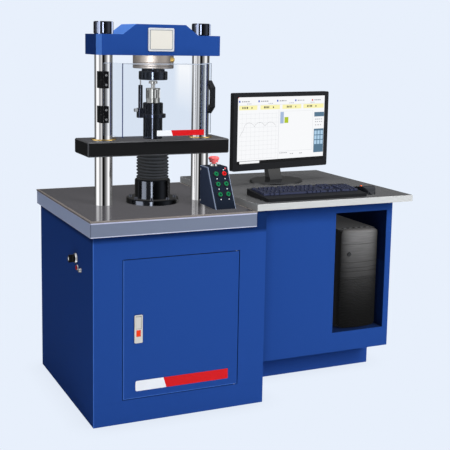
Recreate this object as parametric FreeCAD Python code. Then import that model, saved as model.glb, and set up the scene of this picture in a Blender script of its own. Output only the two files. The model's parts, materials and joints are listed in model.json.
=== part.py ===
# Powder compaction density tester: a table press on its cabinet, with the computer desk beside it.
# Millimetres. X runs to the right along the front, Y into the depth, Z up, floor at zero.
# The origin lies on the floor under the middle of the whole object.
import FreeCAD, Part
import math
import os

V = FreeCAD.Vector
UP = V(0, 0, 1)

# Bed and cabinet
BED_W = 620.0
BED_D = 740.0
BED_T = 56.0
BED_TOP = 725.0
BED_SHEET_T = 5.0
BED_SHEET_LIP = 1.5
OVERHANG = 14.0
STRIP_W = 44.0
SHEET_T = 3.0
TOP_FLANGE_W = 40.0

# Cabinet door, its jamb and its pivots
DOOR_W = 436.0
DOOR_H = 495.0
DOOR_T = 20.0
DOOR_SHEET_T = 2.0
DOOR_GAP = 3.0
LIP_W = 12.0
PIVOT_IN_X = 8.0
PIVOT_IN_Y = 6.0
PIVOT_R = 3.0
PIVOT_REACH = 8.0
PIVOT_HEAD_R = 6.0
PIVOT_HEAD_T = 3.0
RUNNING_GAP = 0.05
SEAT_GAP = 0.3

# Door lock
LOCK_W = 30.0
LOCK_H = 100.0
LOCK_T = 2.5
LOCK_DEPTH = 16.0
LOCK_FROM_EDGE = 55.0
LOCK_MID_Z = 336.0
LOCK_RIM = 4.0
PADDLE_H = 46.0
PADDLE_T = 3.5
PADDLE_BARREL_R = 3.0
PADDLE_PIN_R = 1.5
PUSH_W = 16.0
PUSH_H = 23.0
PUSH_T = 10.0

# Left-side fittings
SIDE_REACH = 14.0
KNOB_Y = 220.0
KNOB_DOWN = 114.0
KNOB_BEZEL_R = 18.5
KNOB_BEZEL_T = 6.0
KNOB_R = 14.0
KNOB_GRIP_T = 7.0
SIDE_PUSH_Y = 201.0
SIDE_PUSH_DOWN = 144.0
SIDE_PUSH_R = 8.0
SIDE_PUSH_BEZEL_R = 10.5
SIDE_PUSH_BEZEL_T = 3.0
SIDE_PUSH_OUT = 6.0
SIDE_PUSH_IN = 5.0
FUSE_Y = 160.0
FUSE_DOWN = 145.0
FUSE_R = 6.5
FUSE_T = 9.0

# Press axis and columns
PRESS_SHIFT = 26.0
PRESS_IN = 315.0
COLUMN_HALF_PITCH = 190.0
COLUMN_R = 32.5
SPIGOT_R = 22.5
NUT_LIP = 3.0
NUT_H = 45.0
NUT_SLOT_W = 9.0
NUT_SLOT_DEPTH = 5.0
NUT_ROUND = 5.0
SPIGOT_SHORT = 3.0

# Upper crosshead
HEAD_W = 476.0
HEAD_D = 164.0
HEAD_BOTTOM = 1270.0
HEAD_WING_H = 73.0
HEAD_MIDDLE_H = 110.0
HEAD_MIDDLE_W = 190.0
HEAD_SLOPE_W = 49.0
HEAD_CORNER = 16.0

# Load cell and upper platen
CELL_R = 75.0
CELL_H = 48.0
CELL_GROOVE = 1.2
SOCKET_R = 9.0
SOCKET_OUT = 9.0
SOCKET_TURN = -48.0
NECK_R = 29.5
NECK_H = 11.0
PLATEN_R = 53.0
PLATEN_H = 31.0

# Moving crosshead
BEAM_W = 548.0
BEAM_D = 170.0
BEAM_T = 54.0
BEAM_TOP = 964.0
BEAM_CHAMFER = 4.0
BUSH_WALL = 5.5
BUSH_LIP = 8.0
BUSH_FLANGE_T = 3.5
STROKE = 55.0

# Actuator
RAM_R = 35.0
BARREL_R = 60.0
BARREL_BELOW = 185.0
BARREL_END_T = 15.0
HOUSING_R = 66.0
HOUSING_H = 90.0
SHOULDER = 9.0
FLANGE_R = 98.0
FLANGE_T = 18.0
RAM_BELOW_HOUSING = 175.0
BELLOWS_OUT_R = 61.0
BELLOWS_IN_R = 51.0
BELLOWS_T = 2.0
BELLOWS_FOLDS = 8

# Tooling
POST_R = 37.0
POST_LOWER_R = 35.5
POST_H = 132.0
POST_HOLE_R = 4.0
POST_HOLE_Z = 34.0
POST_HOLE_TURN = -107.0
DIE_R = 26.5
DIE_BASE_R = 25.0
DIE_BASE_H = 15.0
DIE_H = 53.0
DIE_CORE_R = 15.0
DIE_WINDOWS = 6
DIE_WINDOW_W = 15.0
DIE_CAP_T = 5.0
PUNCH_R = 7.5
PUNCH_HEAD_R = 16.0
PUNCH_HEAD_H = 10.0
PUNCH_CLEAR = 17.0
PUNCH_IN_DIE = 25.0
PUNCH_TRAVEL = 10.0

# Clamp ring, its screw and the displacement sensor
CLAMP_OUT_R = 47.5
CLAMP_H = 14.0
CLAMP_Z = 77.0
CLAMP_SPLIT = 3.0
HOLDER_W = 23.0
HOLDER_D = 26.0
HOLDER_H = 35.0
SENSOR_OFFSET = -49.0
SENSOR_R = 8.0
SENSOR_H = 99.0
SENSOR_IN_HOLDER = 14.0
PROBE_R = 2.5
PROBE_TRAVEL = 12.0
PROBE_GAP = 0.4
SCREW_R = 3.0
SCREW_HEAD_R = 6.5
SCREW_HEAD_L = 12.0

# Guard
GUARD_BOTTOM = 984.0
GUARD_TOP = 1243.0
GUARD_T = 6.0
GUARD_SHIFT = -9.0
GUARD_LEFT_OUT = 198.0
GUARD_LEFT_IN = 172.0
GUARD_RIGHT_OUT = 219.0
GUARD_RIGHT_IN = 181.0
GUARD_FRONT_HALF = 159.0
GUARD_FLANGE_Y = 259.0
GUARD_DEPTH = 94.0
HINGE_H = 60.0
HINGE_Z = (1029.0, 1152.0)
HINGE_LEAF_W = 18.0
HINGE_LEAF_T = 4.0
KNUCKLE_R = 6.0
HINGE_PIN_R = 2.5
KNUCKLE_GAP = 0.5
SADDLE_W = 30.0
HANDLE_W = 18.0
HANDLE_FROM_EDGE = 10.0
HANDLE_H = 122.0
HANDLE_MID_Z = 1119.0
HANDLE_OUT = 40.0
HANDLE_T = 12.0
HANDLE_FOOT = 18.0

# Control box
BOX_FROM_RIGHT = 48.0
BOX_W = 82.0
BOX_FRONT = 77.0
BOX_BACK = 227.0
BOX_TOP_FRONT = 157.0
BOX_H = 144.0
BOX_ROUND = 4.0
BUTTON_COLUMNS = (29.0, 61.0)
BUTTON_ROWS = (28.0, 68.0, 108.0)
BUTTON_R = 8.5
BUTTON_BEZEL_R = 11.5
BUTTON_BEZEL_T = 3.0
BUTTON_OUT = 4.0
BUTTON_IN = 6.0
BUTTON_TRAVEL = 3.0
LAMP_FROM_TOP = 8.0
LAMP_R = 3.5
STOP_R = 20.0
STOP_STEM_R = 8.0
STOP_COLLAR_R = 15.0
STOP_COLLAR_H = 8.0
STOP_TRAVEL = 5.0
STOP_HEAD_H = 21.0

# Power pack in the cabinet
TANK_W = 300.0
TANK_D = 230.0
TANK_H = 230.0
TANK_LID_T = 8.0
TANK_LID_LIP = 8.0
TANK_ROUND = 12.0
TANK_LEFT_OF_PRESS = 262.0
TANK_FROM_BACK = 40.0
MOTOR_R = 66.0
MOTOR_L = 150.0
MOTOR_FINS = 22
MOTOR_FIN_H = 7.0
MOTOR_BELL_L = 22.0
MOTOR_FROM_MIDDLE = 18.0
MOTOR_CLEAR = 4.0
MOTOR_FOOT_T = 8.0
TERMINAL_W = 64.0
TERMINAL_D = 68.0
TERMINAL_H = 26.0
PUMP_R = 38.0
PUMP_L = 60.0
MANIFOLD_W = 70.0
MANIFOLD_D = 60.0
MANIFOLD_H = 80.0
SOLENOID_R = 18.0
SOLENOID_L = 55.0
PIPE_R = 7.0
PIPE_BEND = 30.0
UNION_R = 12.0
UNION_L = 30.0
COLLAR_H = 14.0

# Desk
DESK_W = 670.0
DESK_T = 25.0
DESK_OVERHANG = 15.0
PEDESTAL_IN = 110.0
PEDESTAL_BOTTOM = 118.0
BAY_FROM_RIGHT = 25.0
BAY_W = 234.0
BAY_BOTTOM = 196.0
BAY_H = 479.0
BAY_DEPTH = 520.0
PLINTH_FROM_LEFT = 36.0
PLINTH_FROM_RIGHT = 0.0
PLINTH_IN = 250.0
PLINTH_BACK_IN = 60.0

# Computer
TOWER_W = 168.0
TOWER_H = 400.0
TOWER_D = 400.0
TOWER_IN = 20.0
TOWER_SHIFT = 15.0
TOWER_FOOT = 6.0
TOWER_FOOT_R = 14.0
TOWER_FOOT_IN_X = 28.0
TOWER_FOOT_IN_Y = 40.0
FASCIA_T = 34.0
FASCIA_BULGE = 14.0
FASCIA_GROOVES = (57.0, 130.0, 152.0, 167.0, 200.0)
FASCIA_ROUND = 16.0
FASCIA_TOP_ROUND = 10.0
GROOVE_W = 2.5
GROOVE_DEPTH = 2.0
POWER_R = 8.0
POWER_DOWN = 95.0
POWER_LEFT = 34.0
SCREEN_X = 332.0
SCREEN_Y = 450.0
SCREEN_TURN = 10.0
MONITOR_W = 490.0
MONITOR_H = 313.0
MONITOR_BOTTOM = 809.0
MONITOR_FRAME_T = 24.0
MONITOR_BACK_T = 20.0
BEZEL_SIDE = 20.0
BEZEL_TOP = 17.0
BEZEL_BOTTOM = 26.0
SCREEN_RECESS = 2.0
SCREEN_T = 3.0
STAND_RX = 118.0
STAND_RY = 98.0
STAND_T = 9.0
STAND_FORWARD = 32.0
STAND_NECK_W = 64.0
STAND_NECK_T = 22.0
STAND_NECK_FOOT_T = 36.0
STAND_NECK_STRAIGHT = 88.0
STAND_NECK_BEND = 0.6
STAND_TOE_IN = 5.0
TILT_Z = 110.0
TILT_PIN_R = 7.0
TILT_EAR_W = 12.0
TILT_EYE_T = 6.0
TILT_GAP = 10.0
MONITOR_BACK_INSET = 42.0
MONITOR_BACK_SLOPE = 14.0
KEYBOARD_D = 176.0
KEYBOARD_X = 54.0
KEYBOARD_Y = 28.0
KEYBOARD_FRONT_H = 12.0
KEYBOARD_BACK_H = 24.0
KEY_PITCH = 17.9
KEY_MARGIN = 10.0
KEY_PALM = 46.0
KEY_BANKS = (15, 3, 4)
BANK_GAP = 7.0
KEY_MAT_T = 1.0
KEYS_BEHIND_PALM = 4.0
KEY_GAP = 3.0
KEY_H = 7.0
KEY_TAPER = 1.8
KEY_ROWS = 6
MOUSE_W = 62.0
MOUSE_L = 106.0
MOUSE_H = 28.0
MOUSE_X = 518.0
MOUSE_Y = 50.0
MOUSE_SPLIT = 48.0
MOUSE_SKIN = 4.0
MOUSE_SEAM = 0.8
WHEEL_R = 9.0
WHEEL_W = 7.0

# Places worked out from the sizes above
LEFT = SIDE_REACH - (SIDE_REACH + BED_W + DESK_W) / 2
FRONT = -BED_D / 2
BACK = BED_D / 2
BED_RIGHT = LEFT + BED_W
RIGHT = BED_RIGHT + DESK_W
BED_BOTTOM = BED_TOP - BED_T
KNOB_Z = BED_BOTTOM - KNOB_DOWN
SIDE_PUSH_Z = BED_BOTTOM - SIDE_PUSH_DOWN
FUSE_Z = BED_BOTTOM - FUSE_DOWN
CABINET_X = (LEFT + OVERHANG, BED_RIGHT + STRIP_W)
CABINET_Y = (FRONT + OVERHANG, BACK - OVERHANG)
CABINET_MID = sum(CABINET_X) / 2
DOOR_X = (CABINET_MID - DOOR_W / 2, CABINET_MID + DOOR_W / 2)
DOOR_Z = (BED_BOTTOM / 2 - DOOR_H / 2, BED_BOTTOM / 2 + DOOR_H / 2)
DOOR_Y = (CABINET_Y[0], CABINET_Y[0] + DOOR_T)
PIVOT = (DOOR_X[1] - PIVOT_IN_X, CABINET_Y[0] + PIVOT_IN_Y)
LOCK_X = DOOR_X[0] + LOCK_FROM_EDGE
LOCK_Z = (LOCK_MID_Z - LOCK_H / 2, LOCK_MID_Z + LOCK_H / 2)
PADDLE_TOP = LOCK_Z[1] - LOCK_RIM
PADDLE_PIN_Z = PADDLE_TOP - PADDLE_BARREL_R - SEAT_GAP
PUSH_TOP = PADDLE_TOP - PADDLE_H - LOCK_RIM
NUT_R = COLUMN_R + NUT_LIP
BUSH_R = COLUMN_R + BUSH_WALL
BUSH_FLANGE_R = BUSH_R + BUSH_LIP
PRESS_X = LEFT + BED_W / 2 + PRESS_SHIFT
PRESS_Y = FRONT + PRESS_IN
COLUMNS_X = (PRESS_X - COLUMN_HALF_PITCH, PRESS_X + COLUMN_HALF_PITCH)
HEAD_WING_TOP = HEAD_BOTTOM + HEAD_WING_H
CELL_BOTTOM = HEAD_BOTTOM - CELL_H
PLATEN_TOP = CELL_BOTTOM - NECK_H
PLATEN_BOTTOM = PLATEN_TOP - PLATEN_H
BEAM_BOTTOM = BEAM_TOP - BEAM_T
HOUSING_TOP = BED_TOP + HOUSING_H
POST_TOP = BEAM_TOP + POST_H
DIE_TOP = POST_TOP + DIE_H
SENSOR_X = PRESS_X + SENSOR_OFFSET
CLAMP_BOTTOM = BEAM_TOP + CLAMP_Z
HOLDER_TOP = CLAMP_BOTTOM + HOLDER_H
SENSOR_Z = (HOLDER_TOP - SENSOR_IN_HOLDER, HOLDER_TOP - SENSOR_IN_HOLDER + SENSOR_H)
SCREW_Z = HOLDER_TOP - SENSOR_IN_HOLDER / 2
BOX_X = (BED_RIGHT - BOX_FROM_RIGHT - BOX_W, BED_RIGHT - BOX_FROM_RIGHT)
BOX_CORNER = V(BOX_X[0], FRONT + BOX_FRONT, BED_TOP)
BOX_SLOPE = BOX_TOP_FRONT - BOX_FRONT
FACE_L = math.hypot(BOX_SLOPE, BOX_H)
FACE_TURN = FreeCAD.Rotation(V(1, 0, 0), math.degrees(math.atan2(BOX_H, BOX_SLOPE)))
STOP_X = sum(BOX_X) / 2
STOP_Y = FRONT + (BOX_TOP_FRONT + BOX_BACK) / 2
BOX_TOP = BED_TOP + BOX_H
GUARD_X = PRESS_X + GUARD_SHIFT
GUARD_Y = FRONT + GUARD_FLANGE_Y
HINGE_X = GUARD_X - GUARD_LEFT_OUT - KNUCKLE_R - KNUCKLE_GAP
HINGE_Y = GUARD_Y - HINGE_LEAF_T / 2
DESK_TOP = BED_TOP + DESK_T
PEDESTAL_X = (CABINET_X[1], RIGHT - DESK_OVERHANG)
PEDESTAL_Y = (FRONT + PEDESTAL_IN, BACK - OVERHANG)
PLINTH_X = (PEDESTAL_X[0] + PLINTH_FROM_LEFT, PEDESTAL_X[1] - PLINTH_FROM_RIGHT)
PLINTH_Y = (FRONT + PLINTH_IN, PEDESTAL_Y[1] - PLINTH_BACK_IN)
BAY_X = (PEDESTAL_X[1] - BAY_FROM_RIGHT - BAY_W, PEDESTAL_X[1] - BAY_FROM_RIGHT)
BAY_Z = (BAY_BOTTOM, BAY_BOTTOM + BAY_H)
BAY_Y = (PEDESTAL_Y[0], PEDESTAL_Y[0] + BAY_DEPTH)
TOWER_X = (sum(BAY_X) / 2 + TOWER_SHIFT - TOWER_W / 2, sum(BAY_X) / 2 + TOWER_SHIFT + TOWER_W / 2)
TOWER_Z = (BAY_BOTTOM, BAY_BOTTOM + TOWER_H)
FASCIA_Y = PEDESTAL_Y[0] + TOWER_IN
CASE_Y = (FASCIA_Y + FASCIA_T, FASCIA_Y + FASCIA_T + TOWER_D)
TILT_CENTRE_Z = MONITOR_BOTTOM + TILT_Z
TILT_Y = MONITOR_FRAME_T + MONITOR_BACK_T + TILT_GAP + STAND_NECK_T / 2
SCREEN_PLACE = FreeCAD.Placement(V(BED_RIGHT + SCREEN_X, FRONT + SCREEN_Y, 0), FreeCAD.Rotation(UP, SCREEN_TURN))
ARROWS_X = KEY_MARGIN + KEY_BANKS[0] * KEY_PITCH + BANK_GAP
NUMBERS_X = ARROWS_X + KEY_BANKS[1] * KEY_PITCH + BANK_GAP
BANKS_X = (KEY_MARGIN, ARROWS_X, NUMBERS_X)
KEYBOARD_W = NUMBERS_X + KEY_BANKS[2] * KEY_PITCH - KEY_GAP + KEY_MARGIN
TANK_X = (PRESS_X - TANK_LEFT_OF_PRESS, PRESS_X - TANK_LEFT_OF_PRESS + TANK_W)
TANK_Y = (CABINET_Y[1] - TANK_FROM_BACK - TANK_D, CABINET_Y[1] - TANK_FROM_BACK)
LID_TOP = SHEET_T + TANK_H + TANK_LID_T


def block(x, y, z):
    """Box between the two limits given on each axis."""
    return Part.makeBox(x[1] - x[0], y[1] - y[0], z[1] - z[0], V(x[0], y[0], z[0]))


def grown(limits, by):
    """Limits moved apart by the same amount at both ends, or together where it is negative."""
    return (limits[0] - by, limits[1] + by)


def bar(radius, start, end):
    """Cylinder from one point to another."""
    along = end - start
    return Part.makeCylinder(radius, along.Length, start, along)


def upright(radius, x, y, z):
    """Vertical cylinder at x, y between two heights."""
    return Part.makeCylinder(radius, z[1] - z[0], V(x, y, z[0]))


def moved(shape, placement):
    """Copy of a shape carried by a placement."""
    copy = shape.copy()
    copy.Placement = placement.multiply(copy.Placement)
    return copy


def shifted(shape, x, y, z):
    """Copy of a shape shifted along the axes."""
    return moved(shape, FreeCAD.Placement(V(x, y, z), FreeCAD.Rotation()))


def in_plan(x, y):
    return V(x, y, 0)


def in_front(x, z):
    return V(x, 0, z)


def in_side(y, z):
    return V(0, y, z)


def face_of(plane, start, *steps):
    """Face inside an outline. A step of one point is a line, a step of two an arc through the first."""
    here = plane(*start)
    edges = []
    for step in steps:
        if isinstance(step[0], tuple):
            middle = plane(*step[0])
            end = plane(*step[1])
            edges.append(Part.Arc(here, middle, end).toShape())
        else:
            end = plane(*step)
            edges.append(Part.makeLine(here, end))
        here = end
    edges.append(Part.makeLine(here, plane(*start)))
    return Part.Face(Part.Wire(edges))


def turned(start, *steps):
    """Solid turned about the Z axis from an outline of radius and height."""
    return face_of(in_front, start, *steps).revolve(V(0, 0, 0), UP, 360)


def ring(outer, inner, z):
    """Ring about the Z axis between two heights."""
    return upright(outer, 0, 0, z).cut(upright(inner, 0, 0, z))


def softened(shape, radius, wanted):
    """Shape with its wanted edges rounded."""
    return shape.makeFillet(radius, [edge for edge in shape.Edges if wanted(edge)])


def bevelled(shape, size, wanted):
    """Shape with its wanted edges chamfered."""
    return shape.makeChamfer(size, [edge for edge in shape.Edges if wanted(edge)])


def runs_along(edge, direction):
    """True for a straight edge along a direction."""
    if not isinstance(edge.Curve, Part.Line):
        return False
    return edge.Curve.Direction.cross(direction).Length < 1e-6


def stands(edge):
    return runs_along(edge, UP)


def at_height(height):
    """Test for edges that lie level at one height."""
    return lambda edge: max(abs(v.Z - height) for v in edge.Vertexes) < 1e-4


def at_depth(depth):
    """Test for edges that lie at one depth."""
    return lambda edge: max(abs(v.Y - depth) for v in edge.Vertexes) < 1e-4


def fused(first, *others):
    """One clean solid made of pieces that touch."""
    return first.fuse(list(others)).removeSplitter()


def cabinet_shell():
    """Folded sheet cabinet with a top flange, a door jamb with its lip, and a raised strip under the desk."""
    depth = CABINET_Y
    inner_x = grown(CABINET_X, -SHEET_T)
    inner_y = grown(depth, -SHEET_T)
    strip_x = (BED_RIGHT, CABINET_X[1])
    body = block(CABINET_X, depth, (0, BED_BOTTOM))
    body = body.fuse(block(strip_x, depth, (BED_BOTTOM, BED_TOP)))
    body = body.cut(block(inner_x, inner_y, (SHEET_T, BED_BOTTOM - SHEET_T)))
    top_x = (CABINET_X[0] + TOP_FLANGE_W, BED_RIGHT - TOP_FLANGE_W / 2)
    body = body.cut(block(top_x, grown(depth, -TOP_FLANGE_W), (BED_BOTTOM - SHEET_T, BED_BOTTOM)))
    body = body.cut(block(grown(strip_x, -SHEET_T), inner_y, (BED_BOTTOM - SHEET_T, BED_TOP - SHEET_T)))
    opening_x = grown(DOOR_X, DOOR_GAP)
    opening_z = grown(DOOR_Z, DOOR_GAP)
    lip_back = CABINET_Y[0] + DOOR_T + DOOR_GAP + SHEET_T
    jamb = block(grown(opening_x, SHEET_T), (CABINET_Y[0], lip_back), grown(opening_z, SHEET_T))
    body = body.fuse(jamb)
    body = body.cut(block(opening_x, (CABINET_Y[0], lip_back - SHEET_T), opening_z))
    body = body.cut(block(grown(opening_x, -LIP_W), (CABINET_Y[0], lip_back), grown(opening_z, -LIP_W)))
    for low, high in ((opening_z[0] - SHEET_T, opening_z[0]), (opening_z[1], opening_z[1] + SHEET_T)):
        body = body.cut(upright(PIVOT_R + RUNNING_GAP, PIVOT[0], PIVOT[1], (low, high)))
    wall = (CABINET_X[0], CABINET_X[0] + SHEET_T)
    push_y = FRONT + SIDE_PUSH_Y
    body = body.cut(bar(SIDE_PUSH_R + SEAT_GAP, V(wall[0], push_y, SIDE_PUSH_Z), V(wall[1], push_y, SIDE_PUSH_Z)))
    return body.removeSplitter()


def door_pivot_pins():
    """Pins through the jamb, one below the door and one above, with heads flattened against the front sheet."""
    jamb_t = DOOR_GAP + SHEET_T
    top = upright(PIVOT_R, PIVOT[0], PIVOT[1], (DOOR_Z[1] - PIVOT_REACH, DOOR_Z[1] + jamb_t))
    head = upright(PIVOT_HEAD_R, PIVOT[0], PIVOT[1], (DOOR_Z[1] + jamb_t, DOOR_Z[1] + jamb_t + PIVOT_HEAD_T))
    behind = block(grown((PIVOT[0], PIVOT[0]), PIVOT_HEAD_R), grown(CABINET_Y, -SHEET_T), (0, BED_BOTTOM))
    low = upright(PIVOT_R, PIVOT[0], PIVOT[1], (DOOR_Z[0] - jamb_t, DOOR_Z[0] + PIVOT_REACH))
    foot = upright(PIVOT_HEAD_R, PIVOT[0], PIVOT[1], (DOOR_Z[0] - jamb_t - PIVOT_HEAD_T, DOOR_Z[0] - jamb_t))
    return Part.makeCompound([fused(top, head.common(behind)), fused(low, foot.common(behind))])


def cabinet_door():
    """Inset sheet door, folded to a pan, with the lock's cut-out and holes for the pivot pins."""
    pan = block(DOOR_X, DOOR_Y, DOOR_Z)
    inner_y = (DOOR_Y[0] + DOOR_SHEET_T, DOOR_Y[1])
    pan = pan.cut(block(grown(DOOR_X, -DOOR_SHEET_T), inner_y, grown(DOOR_Z, -DOOR_SHEET_T)))
    pan = pan.cut(upright(PIVOT_R + RUNNING_GAP, PIVOT[0], PIVOT[1], DOOR_Z))
    lock_x = (LOCK_X - LOCK_W / 2 + LOCK_RIM / 2, LOCK_X + LOCK_W / 2 - LOCK_RIM / 2)
    return pan.cut(block(lock_x, DOOR_Y, grown(LOCK_Z, -LOCK_RIM / 2)))


def lock_plate():
    """Lock case behind a rim on the door, with pockets for the paddle and the push, and the paddle's pin."""
    face_y = DOOR_Y[0]
    rim = block((LOCK_X - LOCK_W / 2, LOCK_X + LOCK_W / 2), (face_y - LOCK_T, face_y), LOCK_Z)
    rim = softened(rim, LOCK_RIM, lambda edge: runs_along(edge, V(0, 1, 0)))
    case_half = LOCK_W / 2 - LOCK_RIM / 2 - SEAT_GAP
    case_z = grown(LOCK_Z, -LOCK_RIM / 2 - SEAT_GAP)
    case = block((LOCK_X - case_half, LOCK_X + case_half), (face_y, face_y + LOCK_DEPTH), case_z)
    body = rim.fuse(case)
    paddle_half = LOCK_W / 2 - LOCK_RIM
    paddle_z = (PADDLE_TOP - PADDLE_H, PADDLE_TOP)
    pocket_back = face_y + LOCK_DEPTH - SHEET_T
    body = body.cut(block((LOCK_X - paddle_half, LOCK_X + paddle_half), (face_y - LOCK_T, pocket_back), paddle_z))
    push_half = PUSH_W / 2 + SEAT_GAP
    push_z = (PUSH_TOP - PUSH_H - SEAT_GAP, PUSH_TOP + SEAT_GAP)
    body = body.cut(block((LOCK_X - push_half, LOCK_X + push_half), (face_y - LOCK_T, pocket_back), push_z))
    pin_y = face_y + PADDLE_BARREL_R
    pin_ends = (V(LOCK_X - paddle_half, pin_y, PADDLE_PIN_Z), V(LOCK_X + paddle_half, pin_y, PADDLE_PIN_Z))
    pin = bar(PADDLE_PIN_R, *pin_ends)
    return fused(body, pin)


def lock_paddle():
    """Flush pull paddle that swings out about a barrel at its top."""
    half = LOCK_W / 2 - LOCK_RIM - SEAT_GAP
    face_y = DOOR_Y[0]
    pin_y = face_y + PADDLE_BARREL_R
    plate_z = (PADDLE_TOP - PADDLE_H + SEAT_GAP, PADDLE_PIN_Z)
    plate_y = (face_y - LOCK_T / 2, face_y - LOCK_T / 2 + PADDLE_T)
    plate = block((LOCK_X - half, LOCK_X + half), plate_y, plate_z)
    ends = (V(LOCK_X - half, pin_y, PADDLE_PIN_Z), V(LOCK_X + half, pin_y, PADDLE_PIN_Z))
    barrel = bar(PADDLE_BARREL_R, *ends)
    return fused(plate, barrel).cut(bar(PADDLE_PIN_R + RUNNING_GAP, *ends))


def lock_push():
    """Square push that releases the paddle."""
    y = (DOOR_Y[0] - LOCK_T, DOOR_Y[0] - LOCK_T + PUSH_T)
    push = block((LOCK_X - PUSH_W / 2, LOCK_X + PUSH_W / 2), y, (PUSH_TOP - PUSH_H, PUSH_TOP))
    return bevelled(push, 1.0, at_depth(y[0]))


def out_of_left_side(shape, y, z):
    """Turns a shape made about +Z to stand out of the cabinet's left side at y, z."""
    return moved(shape, FreeCAD.Placement(V(CABINET_X[0], y, z), FreeCAD.Rotation(V(0, 1, 0), -90)))


def side_bezels():
    """Rotary switch bezel, push bezel and fuse holder on the cabinet's left side."""
    knob = turned((KNOB_R + SEAT_GAP, 0), (KNOB_BEZEL_R, 0), (KNOB_BEZEL_R, KNOB_BEZEL_T - 2),
                  (KNOB_BEZEL_R - 2, KNOB_BEZEL_T), (KNOB_R + SEAT_GAP, KNOB_BEZEL_T))
    push = ring(SIDE_PUSH_BEZEL_R, SIDE_PUSH_R + SEAT_GAP, (0, SIDE_PUSH_BEZEL_T))
    fuse = turned((0, 0), (FUSE_R + 2, 0), (FUSE_R + 2, 2), (FUSE_R, 2), (FUSE_R, FUSE_T), (0, FUSE_T))
    return Part.makeCompound([
        out_of_left_side(knob, FRONT + KNOB_Y, KNOB_Z),
        out_of_left_side(push, FRONT + SIDE_PUSH_Y, SIDE_PUSH_Z),
        out_of_left_side(fuse, FRONT + FUSE_Y, FUSE_Z),
    ])


def side_knob():
    """Selector knob: a disc in the bezel with a bar grip across it."""
    reach = OVERHANG + SIDE_REACH
    disc_top = reach / 2
    disc = upright(KNOB_R, 0, 0, (SEAT_GAP, disc_top))
    grip = block((-KNOB_R, KNOB_R), (-KNOB_GRIP_T / 2, KNOB_GRIP_T / 2), (disc_top, reach))
    grip = grip.common(upright(KNOB_R, 0, 0, (disc_top, reach)))
    grip = bevelled(grip, 1.0, at_height(reach))
    return out_of_left_side(fused(disc, grip), FRONT + KNOB_Y, KNOB_Z)


def side_push():
    """Red push in its bezel below the knob."""
    cap = upright(SIDE_PUSH_R, 0, 0, (-SIDE_PUSH_IN, SIDE_PUSH_OUT))
    cap = softened(cap, 1.5, at_height(SIDE_PUSH_OUT))
    return out_of_left_side(cap, FRONT + SIDE_PUSH_Y, SIDE_PUSH_Z)


def bed_plate():
    """Thick bed with a cover sheet a little proud of it, bored for the columns and the actuator barrel."""
    slab_z = (BED_BOTTOM, BED_TOP - BED_SHEET_T)
    slab = block((LEFT + BED_SHEET_LIP, BED_RIGHT), grown((FRONT, BACK), -BED_SHEET_LIP), slab_z)
    slab = bevelled(slab, 2.0, lambda edge: stands(edge) and edge.Vertexes[0].X < 0)
    sheet = block((LEFT, BED_RIGHT), (FRONT, BACK), (BED_TOP - BED_SHEET_T, BED_TOP))
    sheet = softened(sheet, 1.5, at_height(BED_TOP))
    bed = slab.fuse(sheet)
    bed = bed.cut(upright(BARREL_R + SEAT_GAP, PRESS_X, PRESS_Y, (BED_BOTTOM, BED_TOP)))
    for x in COLUMNS_X:
        bed = bed.cut(upright(SPIGOT_R + SEAT_GAP / 2, x, PRESS_Y, (BED_BOTTOM, BED_TOP)))
    return bed.removeSplitter()


def guide_columns():
    """Two ground columns, each with a spigot through the bed and one through the upper crosshead."""
    low = BED_BOTTOM - NUT_H + SPIGOT_SHORT
    high = HEAD_WING_TOP + NUT_H - SPIGOT_SHORT
    column = turned((0, low), (SPIGOT_R - 1, low), (SPIGOT_R, low + 1), (SPIGOT_R, BED_TOP), (COLUMN_R, BED_TOP),
                    (COLUMN_R, HEAD_BOTTOM), (SPIGOT_R, HEAD_BOTTOM), (SPIGOT_R, high - 1), (SPIGOT_R - 1, high),
                    (0, high))
    return Part.makeCompound([shifted(column, x, PRESS_Y, 0) for x in COLUMNS_X])


def column_nuts():
    """Round slotted nuts at both ends of both columns."""
    inner = SPIGOT_R + SEAT_GAP / 2
    dip = NUT_ROUND * (1 - math.sqrt(0.5))
    nut = turned((inner, 0), (NUT_R - NUT_ROUND, 0), ((NUT_R - dip, dip), (NUT_R, NUT_ROUND)),
                 (NUT_R, NUT_H - NUT_ROUND), ((NUT_R - dip, NUT_H - dip), (NUT_R - NUT_ROUND, NUT_H)),
                 (inner, NUT_H))
    slot = block((NUT_R - NUT_SLOT_DEPTH, NUT_R + 1), (-NUT_SLOT_W / 2, NUT_SLOT_W / 2), (0, NUT_H))
    for quarter in range(4):
        nut = nut.cut(moved(slot, FreeCAD.Placement(V(0, 0, 0), FreeCAD.Rotation(UP, 45 + 90 * quarter))))
    heights = (BED_BOTTOM - NUT_H, HEAD_WING_TOP)
    return Part.makeCompound([shifted(nut, x, PRESS_Y, z) for x in COLUMNS_X for z in heights])


def upper_crosshead():
    """Cast crosshead with a raised middle, sloping shoulders and bevelled corners."""
    half = HEAD_W / 2
    ridge = HEAD_MIDDLE_W / 2
    foot = ridge + HEAD_SLOPE_W
    outline = face_of(in_front, (-half, 0), (half, 0), (half, HEAD_WING_H), (foot, HEAD_WING_H),
                      (ridge, HEAD_MIDDLE_H), (-ridge, HEAD_MIDDLE_H), (-foot, HEAD_WING_H), (-half, HEAD_WING_H))
    head = outline.extrude(V(0, HEAD_D, 0))
    head = bevelled(head, HEAD_CORNER, stands)
    head = shifted(head, PRESS_X, PRESS_Y - HEAD_D / 2, HEAD_BOTTOM)
    for x in COLUMNS_X:
        head = head.cut(upright(SPIGOT_R + SEAT_GAP / 2, x, PRESS_Y, (HEAD_BOTTOM, HEAD_WING_TOP)))
    return head


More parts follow.
